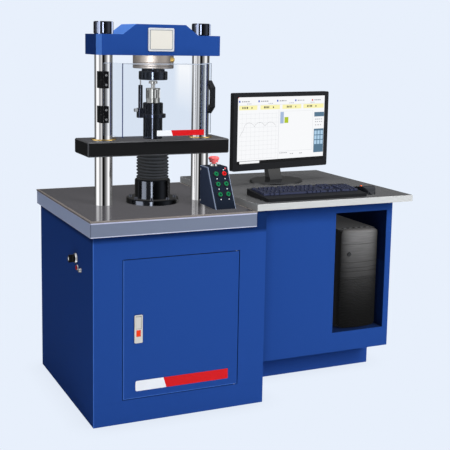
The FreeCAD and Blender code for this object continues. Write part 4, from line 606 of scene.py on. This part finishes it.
# %% [markdown]
# Each model piece takes the paint of its record slot. A few pieces have a paint of their own.

# %% Paint the model pieces
OWN = {"mouse_shell": "mouse_plastic", "mouse_button_left": "mouse_plastic",
       "mouse_button_right": "mouse_plastic", "monitor_stand": "stand_black", "cabinet_door": "door",
       "moving_beam": "beam", "tower_fascia": "fascia",
       "desk_pedestal": "pedestal", "stop_button": "salmon_plastic", "lock_push": "lock_orange",
       "switch_bezels": "ring_black", "power_button": "ring_black", **{name: name for name in TURNED}}
slot_of = {entry["node"]: entry["material_slot"] for entry in frame["record"]["subparts"]}
for name, node in nodes.items():
    node.data.materials.clear()
    node.data.materials.append(paints[OWN.get(name, slot_of[name])].material)


def face_paint(node, paint, wanted):
    """Gives the faces that pass a test of their normal and centre a second paint."""
    mesh = nodes[node].data
    mesh.materials.append(paints[paint].material)
    for face in mesh.polygons:
        if wanted(face.normal, face.center):
            face.material_index = len(mesh.materials) - 1


guard_low, guard_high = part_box("guard_window")
box_low, box_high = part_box("control_box")
face_paint("switch_bezels", "chrome", lambda n, c: c.z > box_high.z - 0.1 * MM)
face_paint("guard_window", "acrylic_edge", lambda n, c: abs(n.z) > 0.9 or abs(n.x) > 0.999)
# The tower's top faces get their painted light.
face_paint("tower_case", "painted_lit_case_top", lambda n, c: n.z > 0.5)
# The beam's top faces get their painted sheen.
face_paint("moving_beam", "painted_lit_beam_top", lambda n, c: n.z > 0.9)
print("painted", len(nodes), "pieces")

# %% [markdown]
# The bellows. Its folds are a wave of the radius along the height, and they lean a little, each fold in
# its own direction, as used rubber does.

# %% Folded rubber bellows
FOLDS = 8
STROKE = next(-joint["range_m"][0] for joint in frame["joints"] if joint["name"] == "beam_slide")


def bellows():
    """Grid of the bellows' skin.

    At height share t the radius is inner + (outer - inner) w(t), with w = (0.5 - 0.5 cos 2 pi n t) ** 0.7 for
    n folds, and the ring leans by a slope that is zero at both ends.
    """
    low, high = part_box("bellows")
    middle = (low + high) / 2
    outer = (high.x - low.x) / 2 - 0.3 * MM
    inner = outer - 9.5 * MM
    rows, columns = FOLDS * 12 + 1, 96
    t = np.linspace(0, 1, rows)[:, None]
    a = np.arange(columns)[None, :] * 2 * np.pi / columns
    wave = (0.5 - 0.5 * np.cos(2 * np.pi * FOLDS * t)) ** 0.7
    fold = np.floor(t * FOLDS)
    radius = inner + (outer - inner) * wave - 0.8 * MM * wave * (0.5 + 0.5 * np.sin(2 * a + 1.7 * fold))
    lean = np.sin(np.pi * t) * 4.2 * MM * np.cos(a - 0.7 - 1.1 * np.sin(3 * t))
    z = low.z + (high.z - low.z) * t + lean
    x = middle.x + radius * np.cos(a)
    y = middle.y + radius * np.sin(a)
    skin = np.stack([x, y, np.broadcast_to(z, x.shape)], -1).reshape(-1, 3)
    return skin, grid_faces(rows, columns)


skin = piece("bellows_skin", bellows(), paints["black_rubber"].material, "press", "black_rubber", smooth=True)
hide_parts("bellows")
bellows_low, bellows_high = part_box("bellows")
height = bellows_high.z - bellows_low.z
(height - STROKE) / height
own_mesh(skin)
print("bellows:", len(skin.data.polygons), "faces")

# %% [markdown]
# Bolts. A socket bolt is a lathe with a six-sided recess: the recess ring follows r = apothem / cos(angle
# from the middle of its flat).

# %% Socket bolts on the actuator flange and under the load cell


def socket_bolt(radius, tall):
    """Cap head with a hexagonal recess, standing on z = 0."""
    segments = 48
    angle = np.arange(segments) * 2 * np.pi / segments
    flat = np.mod(angle, np.pi / 3) - np.pi / 6
    hexagon = 0.48 * radius / np.cos(flat)
    rings = [(radius, 0), (radius, tall * 0.88), (radius * 0.9, tall),
             (hexagon, tall), (hexagon, tall * 0.45), (hexagon * 0.02, tall * 0.4)]
    points = [np.stack([r * np.cos(angle), r * np.sin(angle), z + 0 * angle], -1) for r, z in rings]
    return np.concatenate(points), grid_faces(len(rings), segments)


def ring_of(part, height, radius, count, start):
    """Copies of a part at one height on a circle about the press's axis, the first at an angle in degrees."""
    copies = []
    for angle in math.radians(start) + np.arange(count) * 2 * math.pi / count:
        out = Vector((math.cos(angle), math.sin(angle), 0))
        spot = (axis.x + radius * out.x, axis.y + radius * out.y, height)
        copies.append(placed(part, spot, out, (-out.y, out.x, 0)))
    return joined(copies)


bed_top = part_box("bed_plate")[1].z
axis = centre_of("bellows")
BOLT = socket_bolt(6.5 * MM, 8 * MM)
flange_bolts = ring_of(BOLT, bed_top + 18 * MM, 82 * MM, 8, 22.5)
piece("flange_bolts", flange_bolts, paints["bolt_steel"].material, "press", "dark_steel")
platen_bolts = ring_of(BOLT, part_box("upper_platen")[1].z - 11 * MM, 41 * MM, 6, 10)
piece("platen_bolts", platen_bolts, paints["dark_steel"].material, "press", "dark_steel")
print("bolts: 8 on the flange, 6 on the platen")

# %% [markdown]
# Bare plates: one on the crosshead, one on the door, and a small one on the guard. The last two are white
# at their left with a slanting end, then red. They carry no words.

# %% Bare plates


def add_striped_plate(name, body, origin, width, height, white_low, white_high, corner, thickness):
    """Plate from its lower left corner: white up to white_low at its foot and white_high at its top, then red."""
    outline = rounded_outline(width, height, corner) + np.array([width, height]) / 2
    left = outline[outline[:, 0] < width / 2]
    white = [*left, (white_low, 0), (white_high, height)]
    red = [(white_low, 0), (width, 0), (width, height), (white_high, height)]
    for part, corners, slot in (("white", white, "lock_grey"), ("red", red, "red_plastic")):
        plate = placed(slab(corners, thickness), origin)
        piece(f"{name}_{part}", plate, paints[part + "_plastic"].material, body, slot)


door_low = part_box("cabinet_door")[0]
add_striped_plate("door_plate", "door", (door_low.x + 45 * MM, door_low.y, door_low.z + 25 * MM),
                  354 * MM, 37 * MM, 115 * MM, 104 * MM, 6 * MM, 0.6 * MM)
add_striped_plate("guard_plate", "guard", (guard_high.x - 250 * MM, guard_low.y, guard_low.z + 3 * MM),
                  182 * MM, 20 * MM, 60 * MM, 54 * MM, 3 * MM, 0.4 * MM)

head_low, head_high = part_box("upper_crosshead")
# Name, then in millimetres width, height, corner, thickness, eased edge and start, then colour and roughness.
# The grey slab between the frame and the panel is painted shade: the shadow line between them.
BADGE = (("badge_frame", 100, 83, 6, 3, 1.2, 0, (206, 208, 212), 0.35),
         ("badge_line", 86, 70, 3, 0.3, 0, 3, (120, 122, 128), 0.4),
         ("badge_panel", 82, 66, 3, 0.6, 0, 3, (224, 219, 207), 0.35))
for name, width, height, corner, thickness, ease, out, colour, rough in BADGE:
    layer = slab(rounded_outline(width * MM, height * MM, corner * MM), thickness * MM, ease * MM)
    layer = placed(layer, (axis.x - 1 * MM, head_low.y - out * MM, head_high.z - 54 * MM))
    piece(name, layer, Paint(name, light(*colour), rough).material, "press", "crosshead_blue")
print("plates: crosshead, door, guard")

# %% [markdown]
# Small marks: white dots beside the buttons, screws on the control box and on the guard's hinges, dark
# dimples in the push buttons whose colour is painted shade, the cap of the rotary knob and the ports on top
# of the tower. Turned ones are lathes.

# %% Dots, screws and marks
face_up = Vector((0, 80, 144)).normalized()
face_out = Vector((1, 0, 0)).cross(face_up)
DOT = lathe([(2.3 * MM, 0), (2.2 * MM, 0.6 * MM), (1.5 * MM, 1.1 * MM), (0.01 * MM, 1.2 * MM)], 24)


def cap_of(button):
    """Middle of a button's outer face: its box's middle, carried out along the slope's normal."""
    middle = centre_of(button)
    return middle + face_out * max((vertex.co - middle).dot(face_out) for vertex in nodes[button].data.vertices)


def on_slope(button, down):
    """A dot on the box's face, straight below a button."""
    return placed(DOT, centre_of(button) + face_out * (1.0 * MM) - face_up * down, (1, 0, 0), face_up)


dots = [on_slope(f"push_button_{index}", 19 * MM) for index in range(1, 7)]
dots.append(on_slope("push_button_2", -15 * MM))
piece("box_dots", joined(dots), paints["white_plastic"].material, "press", "navy_paint", smooth=True)

SCREW = lathe(np.array([(4.2, 0), (4.2, 0.8), (3.2, 1.8), (1.6, 2.1), (1.4, 1.2), (0.01, 1.1)]) * MM, 24)
screws = []
for z in (bed_top + 14 * MM, box_high.z - 14 * MM):
    for x, across in ((box_low.x, (0, -1, 0)), (box_high.x, (0, 1, 0))):
        screws.append(placed(SCREW, (x, box_high.y - 10 * MM, z), across))
piece("box_screws", joined(screws), paints["zinc_steel"].material, "press", "zinc_steel", smooth=True)

# Painted shade: each push button gets a dark dimple in its middle.
DIMPLE = lathe([(3.6 * MM, 0), (3.3 * MM, 0.35 * MM), (0.01 * MM, 0.1 * MM)], 24)
green_dimple_shade = moulded("green shade", light(4, 44, 28), 0.3)
red_dimple_shade = moulded("red shade", light(112, 8, 14), 0.3)
for index in range(1, 7):
    button = f"push_button_{index}"
    spot = cap_of(button) - face_out * (0.1 * MM) + Vector((0.8 * MM, 0, 0))
    shade, slot = (red_dimple_shade, "red_plastic") if index == 2 else (green_dimple_shade, "green_plastic")
    dimple = placed(DIMPLE, spot, (1, 0, 0), face_up)
    piece(f"dimple_{index}", dimple, shade.material, button, slot, smooth=True)

knob = centre_of("side_knob")
knob.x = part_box("side_knob")[0].x
knob_cap = placed(lathe(np.array([(7.5, 0), (7.5, 0.8), (6.4, 1.4), (0.01, 1.4)]) * MM, 32), knob, (0, -1, 0))
piece("knob_cap", knob_cap, paints["chrome"].material, "side_knob", "chrome")

case_low, case_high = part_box("tower_case")


def on_case(x0, y0, x1, y1, tall):
    """Low block on the tower's top, from its left front corner, in millimetres."""
    corner = Vector((case_low.x, case_low.y, case_high.z))
    return brick(corner + Vector((x0, y0, 0)) * MM, corner + Vector((x1, y1, tall)) * MM)


ports = [on_case(x - 6, 13, x + 6, 19, 0.6) for x in range(38, 143, 26)]
piece("port_strip", on_case(24, 9, 152, 24, 0.3), paints["gloss_black"].material, "press", "gloss_black")
piece("ports", joined(ports), paints["zinc_steel"].material, "press", "gloss_black")

leaf_low, leaf_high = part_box("guard_hinge_leaves")
heights = [base + up * MM for base in (leaf_low.z, leaf_high.z - 60 * MM) for up in (12, 46)]
hinge_screws = [placed(SCREW, (leaf_high.x - 9 * MM, guard_high.y - 10 * MM, z)) for z in heights]
piece("hinge_screws", joined(hinge_screws), paints["zinc_steel"].material, "guard", "zinc_steel", smooth=True)
print("marks: dots", len(dots), "screws", len(screws) + len(hinge_screws))

# %% [markdown]
# The legends of the keys: one small pale mark on each key, set where the model's own key tops are.

# %% Key legends


def key_tops():
    """Corners of the top of each key: the highest level faces, grouped where they share a corner."""
    mesh = nodes["keyboard_keys"].data
    level = [face for face in mesh.polygons if face.normal.z > 0.9]
    height = max(face.normal.dot(face.center) for face in level)
    group_of_corner, groups = {}, []
    for face in level:
        if face.normal.dot(face.center) < height - 0.3 * MM:
            continue
        corners = [tuple(round(v, 5) for v in mesh.vertices[i].co) for i in face.vertices]
        met = {id(group_of_corner[c]): group_of_corner[c] for c in corners if c in group_of_corner}
        merged = set(corners).union(*met.values())
        groups = [group for group in groups if id(group) not in met] + [merged]
        for corner in merged:
            group_of_corner[corner] = merged
    return [np.array(sorted(group)) for group in groups], Vector(level[0].normal)


LEGEND = brick((-1.3 * MM, -1.5 * MM, 0), (1.3 * MM, 1.5 * MM, 0.05 * MM))
tops, key_normal = key_tops()
key_back = key_normal.cross(Vector((1, 0, 0)))
legends = []
for top in tops:
    low, high = top.min(0), top.max(0)
    spot = Vector((low + high) / 2) - Vector(((high[0] - low[0]) * 0.16, 0, 0))
    spot += (key_back * 1.8 + key_normal * 0.05) * MM
    legends.append(placed(LEGEND, spot, (1, 0, 0), key_back))
legend_paint = moulded("key legend", light(108, 114, 146), 0.4)
piece("key_legends", joined(legends), legend_paint.material, "press", "key_black")
print("legends on", len(tops), "keys")

# %% [markdown]
# The picture on the screen: a plain test program with a tool row, a row of readings, a chart with an
# arched curve, a list and a column of buttons. Each colour is one thin piece in front of the panel.

# %% Picture on the screen
SCREEN_TURN = math.radians(10)
screen_low, screen_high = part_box("monitor_screen")
screen_mid = (screen_low + screen_high) / 2
across = Vector((math.cos(SCREEN_TURN), math.sin(SCREEN_TURN), 0))
towards = Vector((math.sin(SCREEN_TURN), -math.cos(SCREEN_TURN), 0))
screen_h = screen_high.z - screen_low.z
screen_w = (screen_high.x - screen_low.x - 3 * MM * math.sin(SCREEN_TURN)) / math.cos(SCREEN_TURN)
corner = screen_mid + towards * 1.5 * MM - across * screen_w / 2 + Vector((0, 0, screen_h / 2))


def spot(u, v, layer):
    """Point at shares of the screen's width and, from the top, of its height, some layers before the panel."""
    return corner + across * (u * screen_w) - Vector((0, 0, v * screen_h)) + towards * (0.12 * MM * layer)


def quad(shares, layer):
    """Face between four spots."""
    return np.array([spot(u, v, layer) for u, v in shares]), [(0, 1, 2, 3)]


def patch(u0, v0, u1, v1, layer):
    """Rectangle between two spots."""
    return quad(((u0, v1), (u1, v1), (u1, v0), (u0, v0)), layer)


def stroke(points, width, layer):
    """Line of a width in metres through points: each stretch is a quad, half the width to each side."""
    size = np.array([screen_w, screen_h])
    quads = []
    for start, end in zip(points, points[1:]):
        du, dv = (end - start) * size
        aside = np.array([-dv, du]) / math.hypot(du, dv) * width / 2 / size
        quads.append(quad((start + aside, end + aside, end - aside, start - aside), layer))
    return joined(quads)


def glow(name, colour):
    """Self-lit colour of the display."""
    return Paint(name, (0.0, 0.0, 0.0, 1.0), 0.25, shine=0.1).set(Emission_Color=colour, Emission_Strength=1.0)


def dashes(u, v, count, step, width, tall):
    """Row of short bars that stands for words or figures."""
    rng = np.random.default_rng(int(u * 1000 + v * 77))
    row = []
    for index in range(count):
        share = 0.55 + 0.4 * rng.random()
        row.append(patch(u + index * step, v, u + index * step + width * share, v + tall, 3))
    return row


# The measured curve falls from the left edge and then runs in arches, along the length of the chart.
along = np.linspace(0, 1, 90)
arches = 0.155 * np.abs(np.sin(np.pi * np.clip(along * 3.35 - 0.35, 0, 3))) ** 0.6
fall = 0.62 * np.clip(1 - along / 0.16, 0, 1) ** 1.3
chart = np.column_stack([0.025 + 0.40 * along, 0.45 - 0.45 * arches * (along > 0.1) + 0.22 * fall])
READINGS = ((0.015, 0.20), (0.25, 0.22), (0.50, 0.22), (0.745, 0.245))
yellow_fields = [patch(u, 0.125, u + width, 0.190, 1) for u, width in READINGS]
grid_lines = [patch(0.02, v, 0.452, v + 0.002, 2) for v in np.linspace(0.25, 0.92, 11)]
grid_lines += [patch(u, 0.23, u + 0.0012, 0.93, 2) for u in np.linspace(0.05, 0.43, 9)]
FRAMES = ((0.46, 0.20, 0.463, 0.95), (0.475, 0.225, 0.86, 0.227), (0.475, 0.835, 0.86, 0.838),
          (0.86, 0.225, 0.862, 0.835), (0.0, 0.118, 1.0, 0.121))
grid_lines += [patch(*ends, 2) for ends in FRAMES]
# Rows of words: where each starts, how many bars, their pitch, width and height.
ROWS = [(u, 0.057, 4, 0.022, 0.02, 0.016) for u in (0.045, 0.255, 0.465, 0.675, 0.875)]
ROWS += [(u, 0.095, 3, 0.018, 0.014, 0.010) for u in (0.10, 0.34, 0.58, 0.83)]
ROWS += [(u, 0.875, 2, 0.02, 0.02, 0.012) for u in (0.60, 0.71)]
ROWS += [(0.892, v, 4, 0.024, 0.018, 0.012) for v in (0.36, 0.40)]
ROWS += [(0.478, 0.855, 5, 0.018, 0.016, 0.012), (0.892, 0.45, 3, 0.03, 0.02, 0.012)]
words = [bar for row in ROWS for bar in dashes(*row)]
figures = []
for u in (0.05, 0.29, 0.55, 0.79):
    figures += dashes(u, 0.142, 4, 0.016, 0.014, 0.03) + dashes(u + 0.10, 0.148, 1, 0.02, 0.014, 0.024)
icons = [patch(u, 0.050, u + 0.016, 0.078, 2) for u in (0.012, 0.225, 0.435, 0.645)]
side_buttons = [patch(u, v, u + 0.028, v + 0.062, 2)
                for u in (0.888, 0.925, 0.962) for v in (0.545, 0.62, 0.695)]
DISPLAY = {
    "page": ([patch(0.0, 0.0, 1.0, 0.95, 0.5)], (247, 248, 250)),
    "bar": ([patch(0.0, 0.95, 1.0, 1.0, 0.5)], (14, 15, 18)),
    "yellow": (yellow_fields, (250, 244, 178)),
    "lines": (grid_lines, (205, 208, 212)),
    "words": (words, (150, 152, 158)),
    "figures": (figures, (60, 60, 62)),
    "curve": ([stroke(chart, 0.9 * MM, 3)], (150, 152, 155)),
    "icons": (icons, (70, 96, 190)),
    "red": ([patch(0.845, 0.052, 0.86, 0.078, 2), patch(0.0, 0.0, 0.012, 0.012, 2)], (214, 60, 50)),
    "column": ([patch(0.88, 0.255, 0.998, 0.325, 1), patch(0.88, 0.515, 0.998, 0.885, 1)], (86, 118, 142)),
    "keys": (side_buttons, (176, 208, 232)),
    "list": ([patch(0.478, 0.235, 0.518, 0.41, 1.5)], (166, 186, 216)),
    "green": ([patch(0.527, 0.315, 0.572, 0.405, 1.5)], (176, 196, 44)),
    "tab": ([patch(0.03, 0.955, 0.25, 0.99, 1)], (246, 247, 248)),
}
for name, (parts, colour) in DISPLAY.items():
    shown = glow("display " + name, light(*colour)).material
    piece("screen_" + name, joined(parts), shown, "monitor", "screen_glass")
print("screen:", len(DISPLAY), "colours")

# %% [markdown]
# The bends of the guard. Clear sheet gathers light where it bends, and the folds then read as thin dark
# blue lines. A pale strip along the top edge is a painted highlight.

# %% Bends of the guard
guard_mid = guard_high.x - 219 * MM
# Left and right folds of the middle pane, and outer ends of the sloping panes.
FOLD = 159 * MM
LEFT_END, RIGHT_END = -172 * MM, 181 * MM


def guard_bar(x0, x1, front, back, low):
    """Thin bar on the guard, between two places left and right of its middle, from a height to its top."""
    return brick((guard_mid + x0, front, low), (guard_mid + x1, back, guard_high.z))


bends = [guard_bar(x - 1.6 * MM, x + 1.6 * MM, guard_low.y - 0.2 * MM, guard_low.y + 1.2 * MM, guard_low.z)
         for x in (-FOLD, FOLD)]
bends += [guard_bar(x - 1.4 * MM, x + 1.4 * MM, guard_high.y - 6.2 * MM, guard_high.y - 5 * MM, guard_low.z)
          for x in (LEFT_END, RIGHT_END)]
flange_y = guard_high.y - 6 * MM
rim = [guard_bar(x0, x1, y - 0.2 * MM, y + 0.6 * MM, guard_high.z - 3 * MM)
       for x0, x1, y in ((-FOLD, FOLD, guard_low.y), (guard_low.x + 1 * MM - guard_mid, LEFT_END, flange_y),
                         (RIGHT_END, guard_high.x - 1 * MM - guard_mid, flange_y))]
# Painted highlight: a pale strip along the guard's top edge.
rim_highlight_paint = Paint("lit acrylic edge", light(176, 184, 196), 0.3, shine=0.1).set(Alpha=0.8)
piece("guard_rim", joined(rim), rim_highlight_paint.material, "guard", "acrylic")
bend_paint = Paint("acrylic bend", light(34, 46, 96), 0.35, shine=0.1).set(Alpha=0.9)
piece("guard_bends", joined(bends), bend_paint.material, "guard", "acrylic")
print("guard bends:", len(bends))

# %% [markdown]
# Light, floor and camera. The photograph has a pale, even background with no visible floor, so the camera
# sees a plain colour, while shiny pieces see a studio: dark towards the camera with bright panels on both
# sides of it.

# %% World
BACKGROUND = light(232, 240, 252)
# Light of the studio's wall round the object: degrees from the front, turning to the right, and strength there.
WALL = ((-180, 0.06), (-150, 0.09), (-130, 0.33), (-114, 1.35), (-85, 1.35), (-73, 0.56), (-62, 0.28),
        (-50, 0.8), (-42, 0.9), (-32, 0.2), (-27, 0.0), (-9, 0.01), (5, 0.19), (19, 0.36), (32, 0.75),
        (44, 1.3), (58, 1.2), (68, 0.5), (84, 0.04), (113, 0.14), (140, 0.10), (180, 0.08))


def studio():
    """World with three faces: plain for the camera, a studio for mirrors, an even fill for matt surfaces."""
    world = bpy.data.worlds.new("studio")
    bpy.context.scene.world = world
    world.use_nodes = True
    tree = world.node_tree
    tree.nodes.clear()

    def node(kind, *values):
        """New node with its first inputs fed in their order."""
        made = tree.nodes.new(kind)
        for socket, value in zip(made.inputs, values):
            feed(tree, socket, value)
        return made

    def emission(colour, strength):
        return node("ShaderNodeBackground", colour, strength).outputs[0]

    split = node("ShaderNodeSeparateXYZ", node("ShaderNodeTexCoord").outputs["Generated"])
    x, y, z = (Field(tree, part) for part in split.outputs)
    share = maths(tree, "ARCTAN2", x, y * -1.0) / (2 * math.pi) + 0.5
    ramp = node("ShaderNodeValToRGB", share)
    stops = ramp.color_ramp.elements
    while len(stops) < len(WALL):
        stops.new(0.5)
    for stop, (degrees, value) in zip(stops, WALL):
        stop.position = degrees / 360 + 0.5
        stop.color = (value, value, value, 1)
    overhead = node("ShaderNodeMapRange", z, 0.35, 0.75)
    sky = tree.nodes.new("ShaderNodeMix")
    sky.data_type = "RGBA"
    for index, value in ((0, overhead.outputs[0]), (6, ramp.outputs[0]), (7, (0.55, 0.56, 0.58, 1))):
        feed(tree, sky.inputs[index], value)
    path = node("ShaderNodeLightPath").outputs
    fill = emission(light(214, 222, 236), 0.27)
    lit = node("ShaderNodeMixShader", path["Is Glossy Ray"], fill, emission(sky.outputs[2], 1.0))
    seen = maths(tree, "MAXIMUM", path["Is Camera Ray"], path["Is Transmission Ray"])
    shown = node("ShaderNodeMixShader", seen, lit.outputs[0], emission(BACKGROUND, 1.0))
    node("ShaderNodeOutputWorld", shown.outputs[0])


studio()
print("studio wall with", len(WALL), "stops")

# %% [markdown]
# Lamps. A large one before the object and one above it give the plain light. Dark turned steel shows its
# form by long narrow bands of light, so strips light only those pieces, and show in them.

# %% Lamps


def group_of(name, things):
    """Collection that lists pieces for a lamp."""
    group = bpy.data.collections.new(name)
    for thing in things:
        group.objects.link(nodes[thing])
    return group


def lamp(name, place, target, size, power, only_for=(), shaded_by=()):
    """Area lamp that looks from a place to a target. It lights all pieces and shows in none.

    With only_for it lights only those pieces, and shows in them. shaded_by lists the pieces that cast a shadow in
    its light; without it all do.
    """
    data = bpy.data.lights.new(name, "AREA")
    data.shape = "RECTANGLE"
    data.size, data.size_y = size
    data.energy = power
    made = bpy.data.objects.new(name, data)
    made.location = place
    made.rotation_euler = (Vector(target) - Vector(place)).to_track_quat("-Z", "Y").to_euler()
    made.visible_glossy = bool(only_for)
    bpy.context.scene.collection.objects.link(made)
    if only_for:
        made.light_linking.receiver_collection = group_of(name + " lights", only_for)
    if shaded_by:
        made.light_linking.blocker_collection = group_of(name + " is shaded by", shaded_by)


PRESS = (-0.3, -0.05, 1.0)
DARK_TURNED = ("column_nuts", "cylinder_housing", "upper_platen", "die_post", "sensor_barrel", "clamp_ring")
CASEWORK = ("bed_plate", "cabinet_shell", "cabinet_door", "desk_top", "desk_pedestal", "tower_case",
            "control_box", "keyboard_case", "monitor_housing")
lamp("key", (1.6, -4.2, 2.6), (0.0, 0.0, 0.6), (2.0, 2.0), 176)
lamp("top", (0.1, -0.2, 3.6), (0.1, 0.0, 0.7), (2.2, 2.0), 72, shaded_by=CASEWORK)
lamp("narrow strip", (-1.77, -3.20, 1.1), PRESS, (0.52, 2.8), 215, only_for=DARK_TURNED)
lamp("broad strip", (-3.60, -0.75, 1.1), PRESS, (2.1, 2.8), 330, only_for=DARK_TURNED[:2])
lamp("soft front", (-2.0, -2.8, 1.1), PRESS, (1.0, 2.4), 17, only_for=("die_body", "punch"))
lamp("cell front", (-2.1, -2.7, 1.1), PRESS, (2.0, 2.4), 100, only_for=("load_cell",))
print("lamps: key, top, two strips for the dark turned pieces, two soft ones for the bright ones")

# %% [markdown]
# Light bands run cleanly down the columns only if the columns don't mirror the dark pieces around them.
# So a mirror shows the studio, the columns themselves, and what stands on the desk, and the other pieces
# leave it alone.

# %% Keep the columns' reflections clean
MIRRORED = ("guide_columns", "monitor_stand", "keyboard_case", "keyboard_keys")
for thing in bpy.data.objects:
    if thing.type == "MESH":
        thing.visible_glossy = thing.name in MIRRORED
print("mirrors show", len(MIRRORED), "pieces and the studio")

# %% [markdown]
# Floor. It shows as the background, with a painted shadow where the object stands on it, and is clear for
# reflections, which show the studio instead.

# %% Floor


def floor_paint():
    """Plain for the camera with a painted shadow round what stands on it, clear for reflections."""
    paint = Paint("floor", light(215, 222, 232), 0.6)
    # Painted shadow: ambient occlusion darkens the floor's colour near the object.
    near = paint.add("ShaderNodeAmbientOcclusion", samples=8, Distance=0.10)
    shade = paint.ranged(near.outputs["AO"], 0.86, 1.0)
    tone = paint.add("ShaderNodeVectorMath", operation="SCALE", Scale=shade)
    tone.inputs[0].default_value = BACKGROUND[:3]
    flat = paint.add("ShaderNodeEmission", Color=tone.outputs[0])
    path = paint.add("ShaderNodeLightPath").outputs
    clear = paint.blend(path["Is Glossy Ray"], paint.surface, paint.add("ShaderNodeBsdfTransparent"))
    return paint.shown(paint.blend(path["Is Camera Ray"], clear, flat).outputs[0]).material


floor_mesh = bpy.data.meshes.new("floor")
corners = [(x, y, -0.5 * MM) for x, y in ((-30, -30), (30, -30), (30, 30), (-30, 30))]
floor_mesh.from_pydata(corners, [], [(0, 1, 2, 3)])
floor_mesh.materials.append(floor_paint())
floor = bpy.data.objects.new("floor", floor_mesh)
bpy.context.scene.collection.objects.link(floor)
floor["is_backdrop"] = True
print("floor 60 m square")

# %% [markdown]
# The camera stands where the photograph was taken from: at eye height, to the left of the front, looking
# slightly down, with the lens shifted a little. Its place, turn and lens were fitted to corners measured
# in the photograph, which is 450 pixels wide.

# %% Camera
FRAME = 450
FOCAL, SHIFT = 950.96 / FRAME, -45 / FRAME
YAW, PITCH, ROLL = math.radians(24.83), math.radians(8.39), math.radians(1.03)
camera = bpy.data.objects.new("camera", bpy.data.cameras.new("camera"))
camera.data.lens = camera.data.sensor_width * FOCAL
camera.data.shift_y = SHIFT
turn = Matrix.Rotation(-YAW, 3, "Z") @ Matrix.Rotation(math.pi / 2 - PITCH, 3, "X")
turn @= Matrix.Rotation(ROLL, 3, "Z")
camera.location = (-1.5324, -3.3599, 1.3302)
camera.rotation_euler = turn.to_euler()
bpy.context.scene.collection.objects.link(camera)
bpy.context.scene.camera = camera
bpy.context.scene.view_settings.view_transform = "Standard"
print("camera at", [round(v, 3) for v in camera.location])

# %% [markdown]
# Last, the box of all that shows is worked out.

low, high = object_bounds()
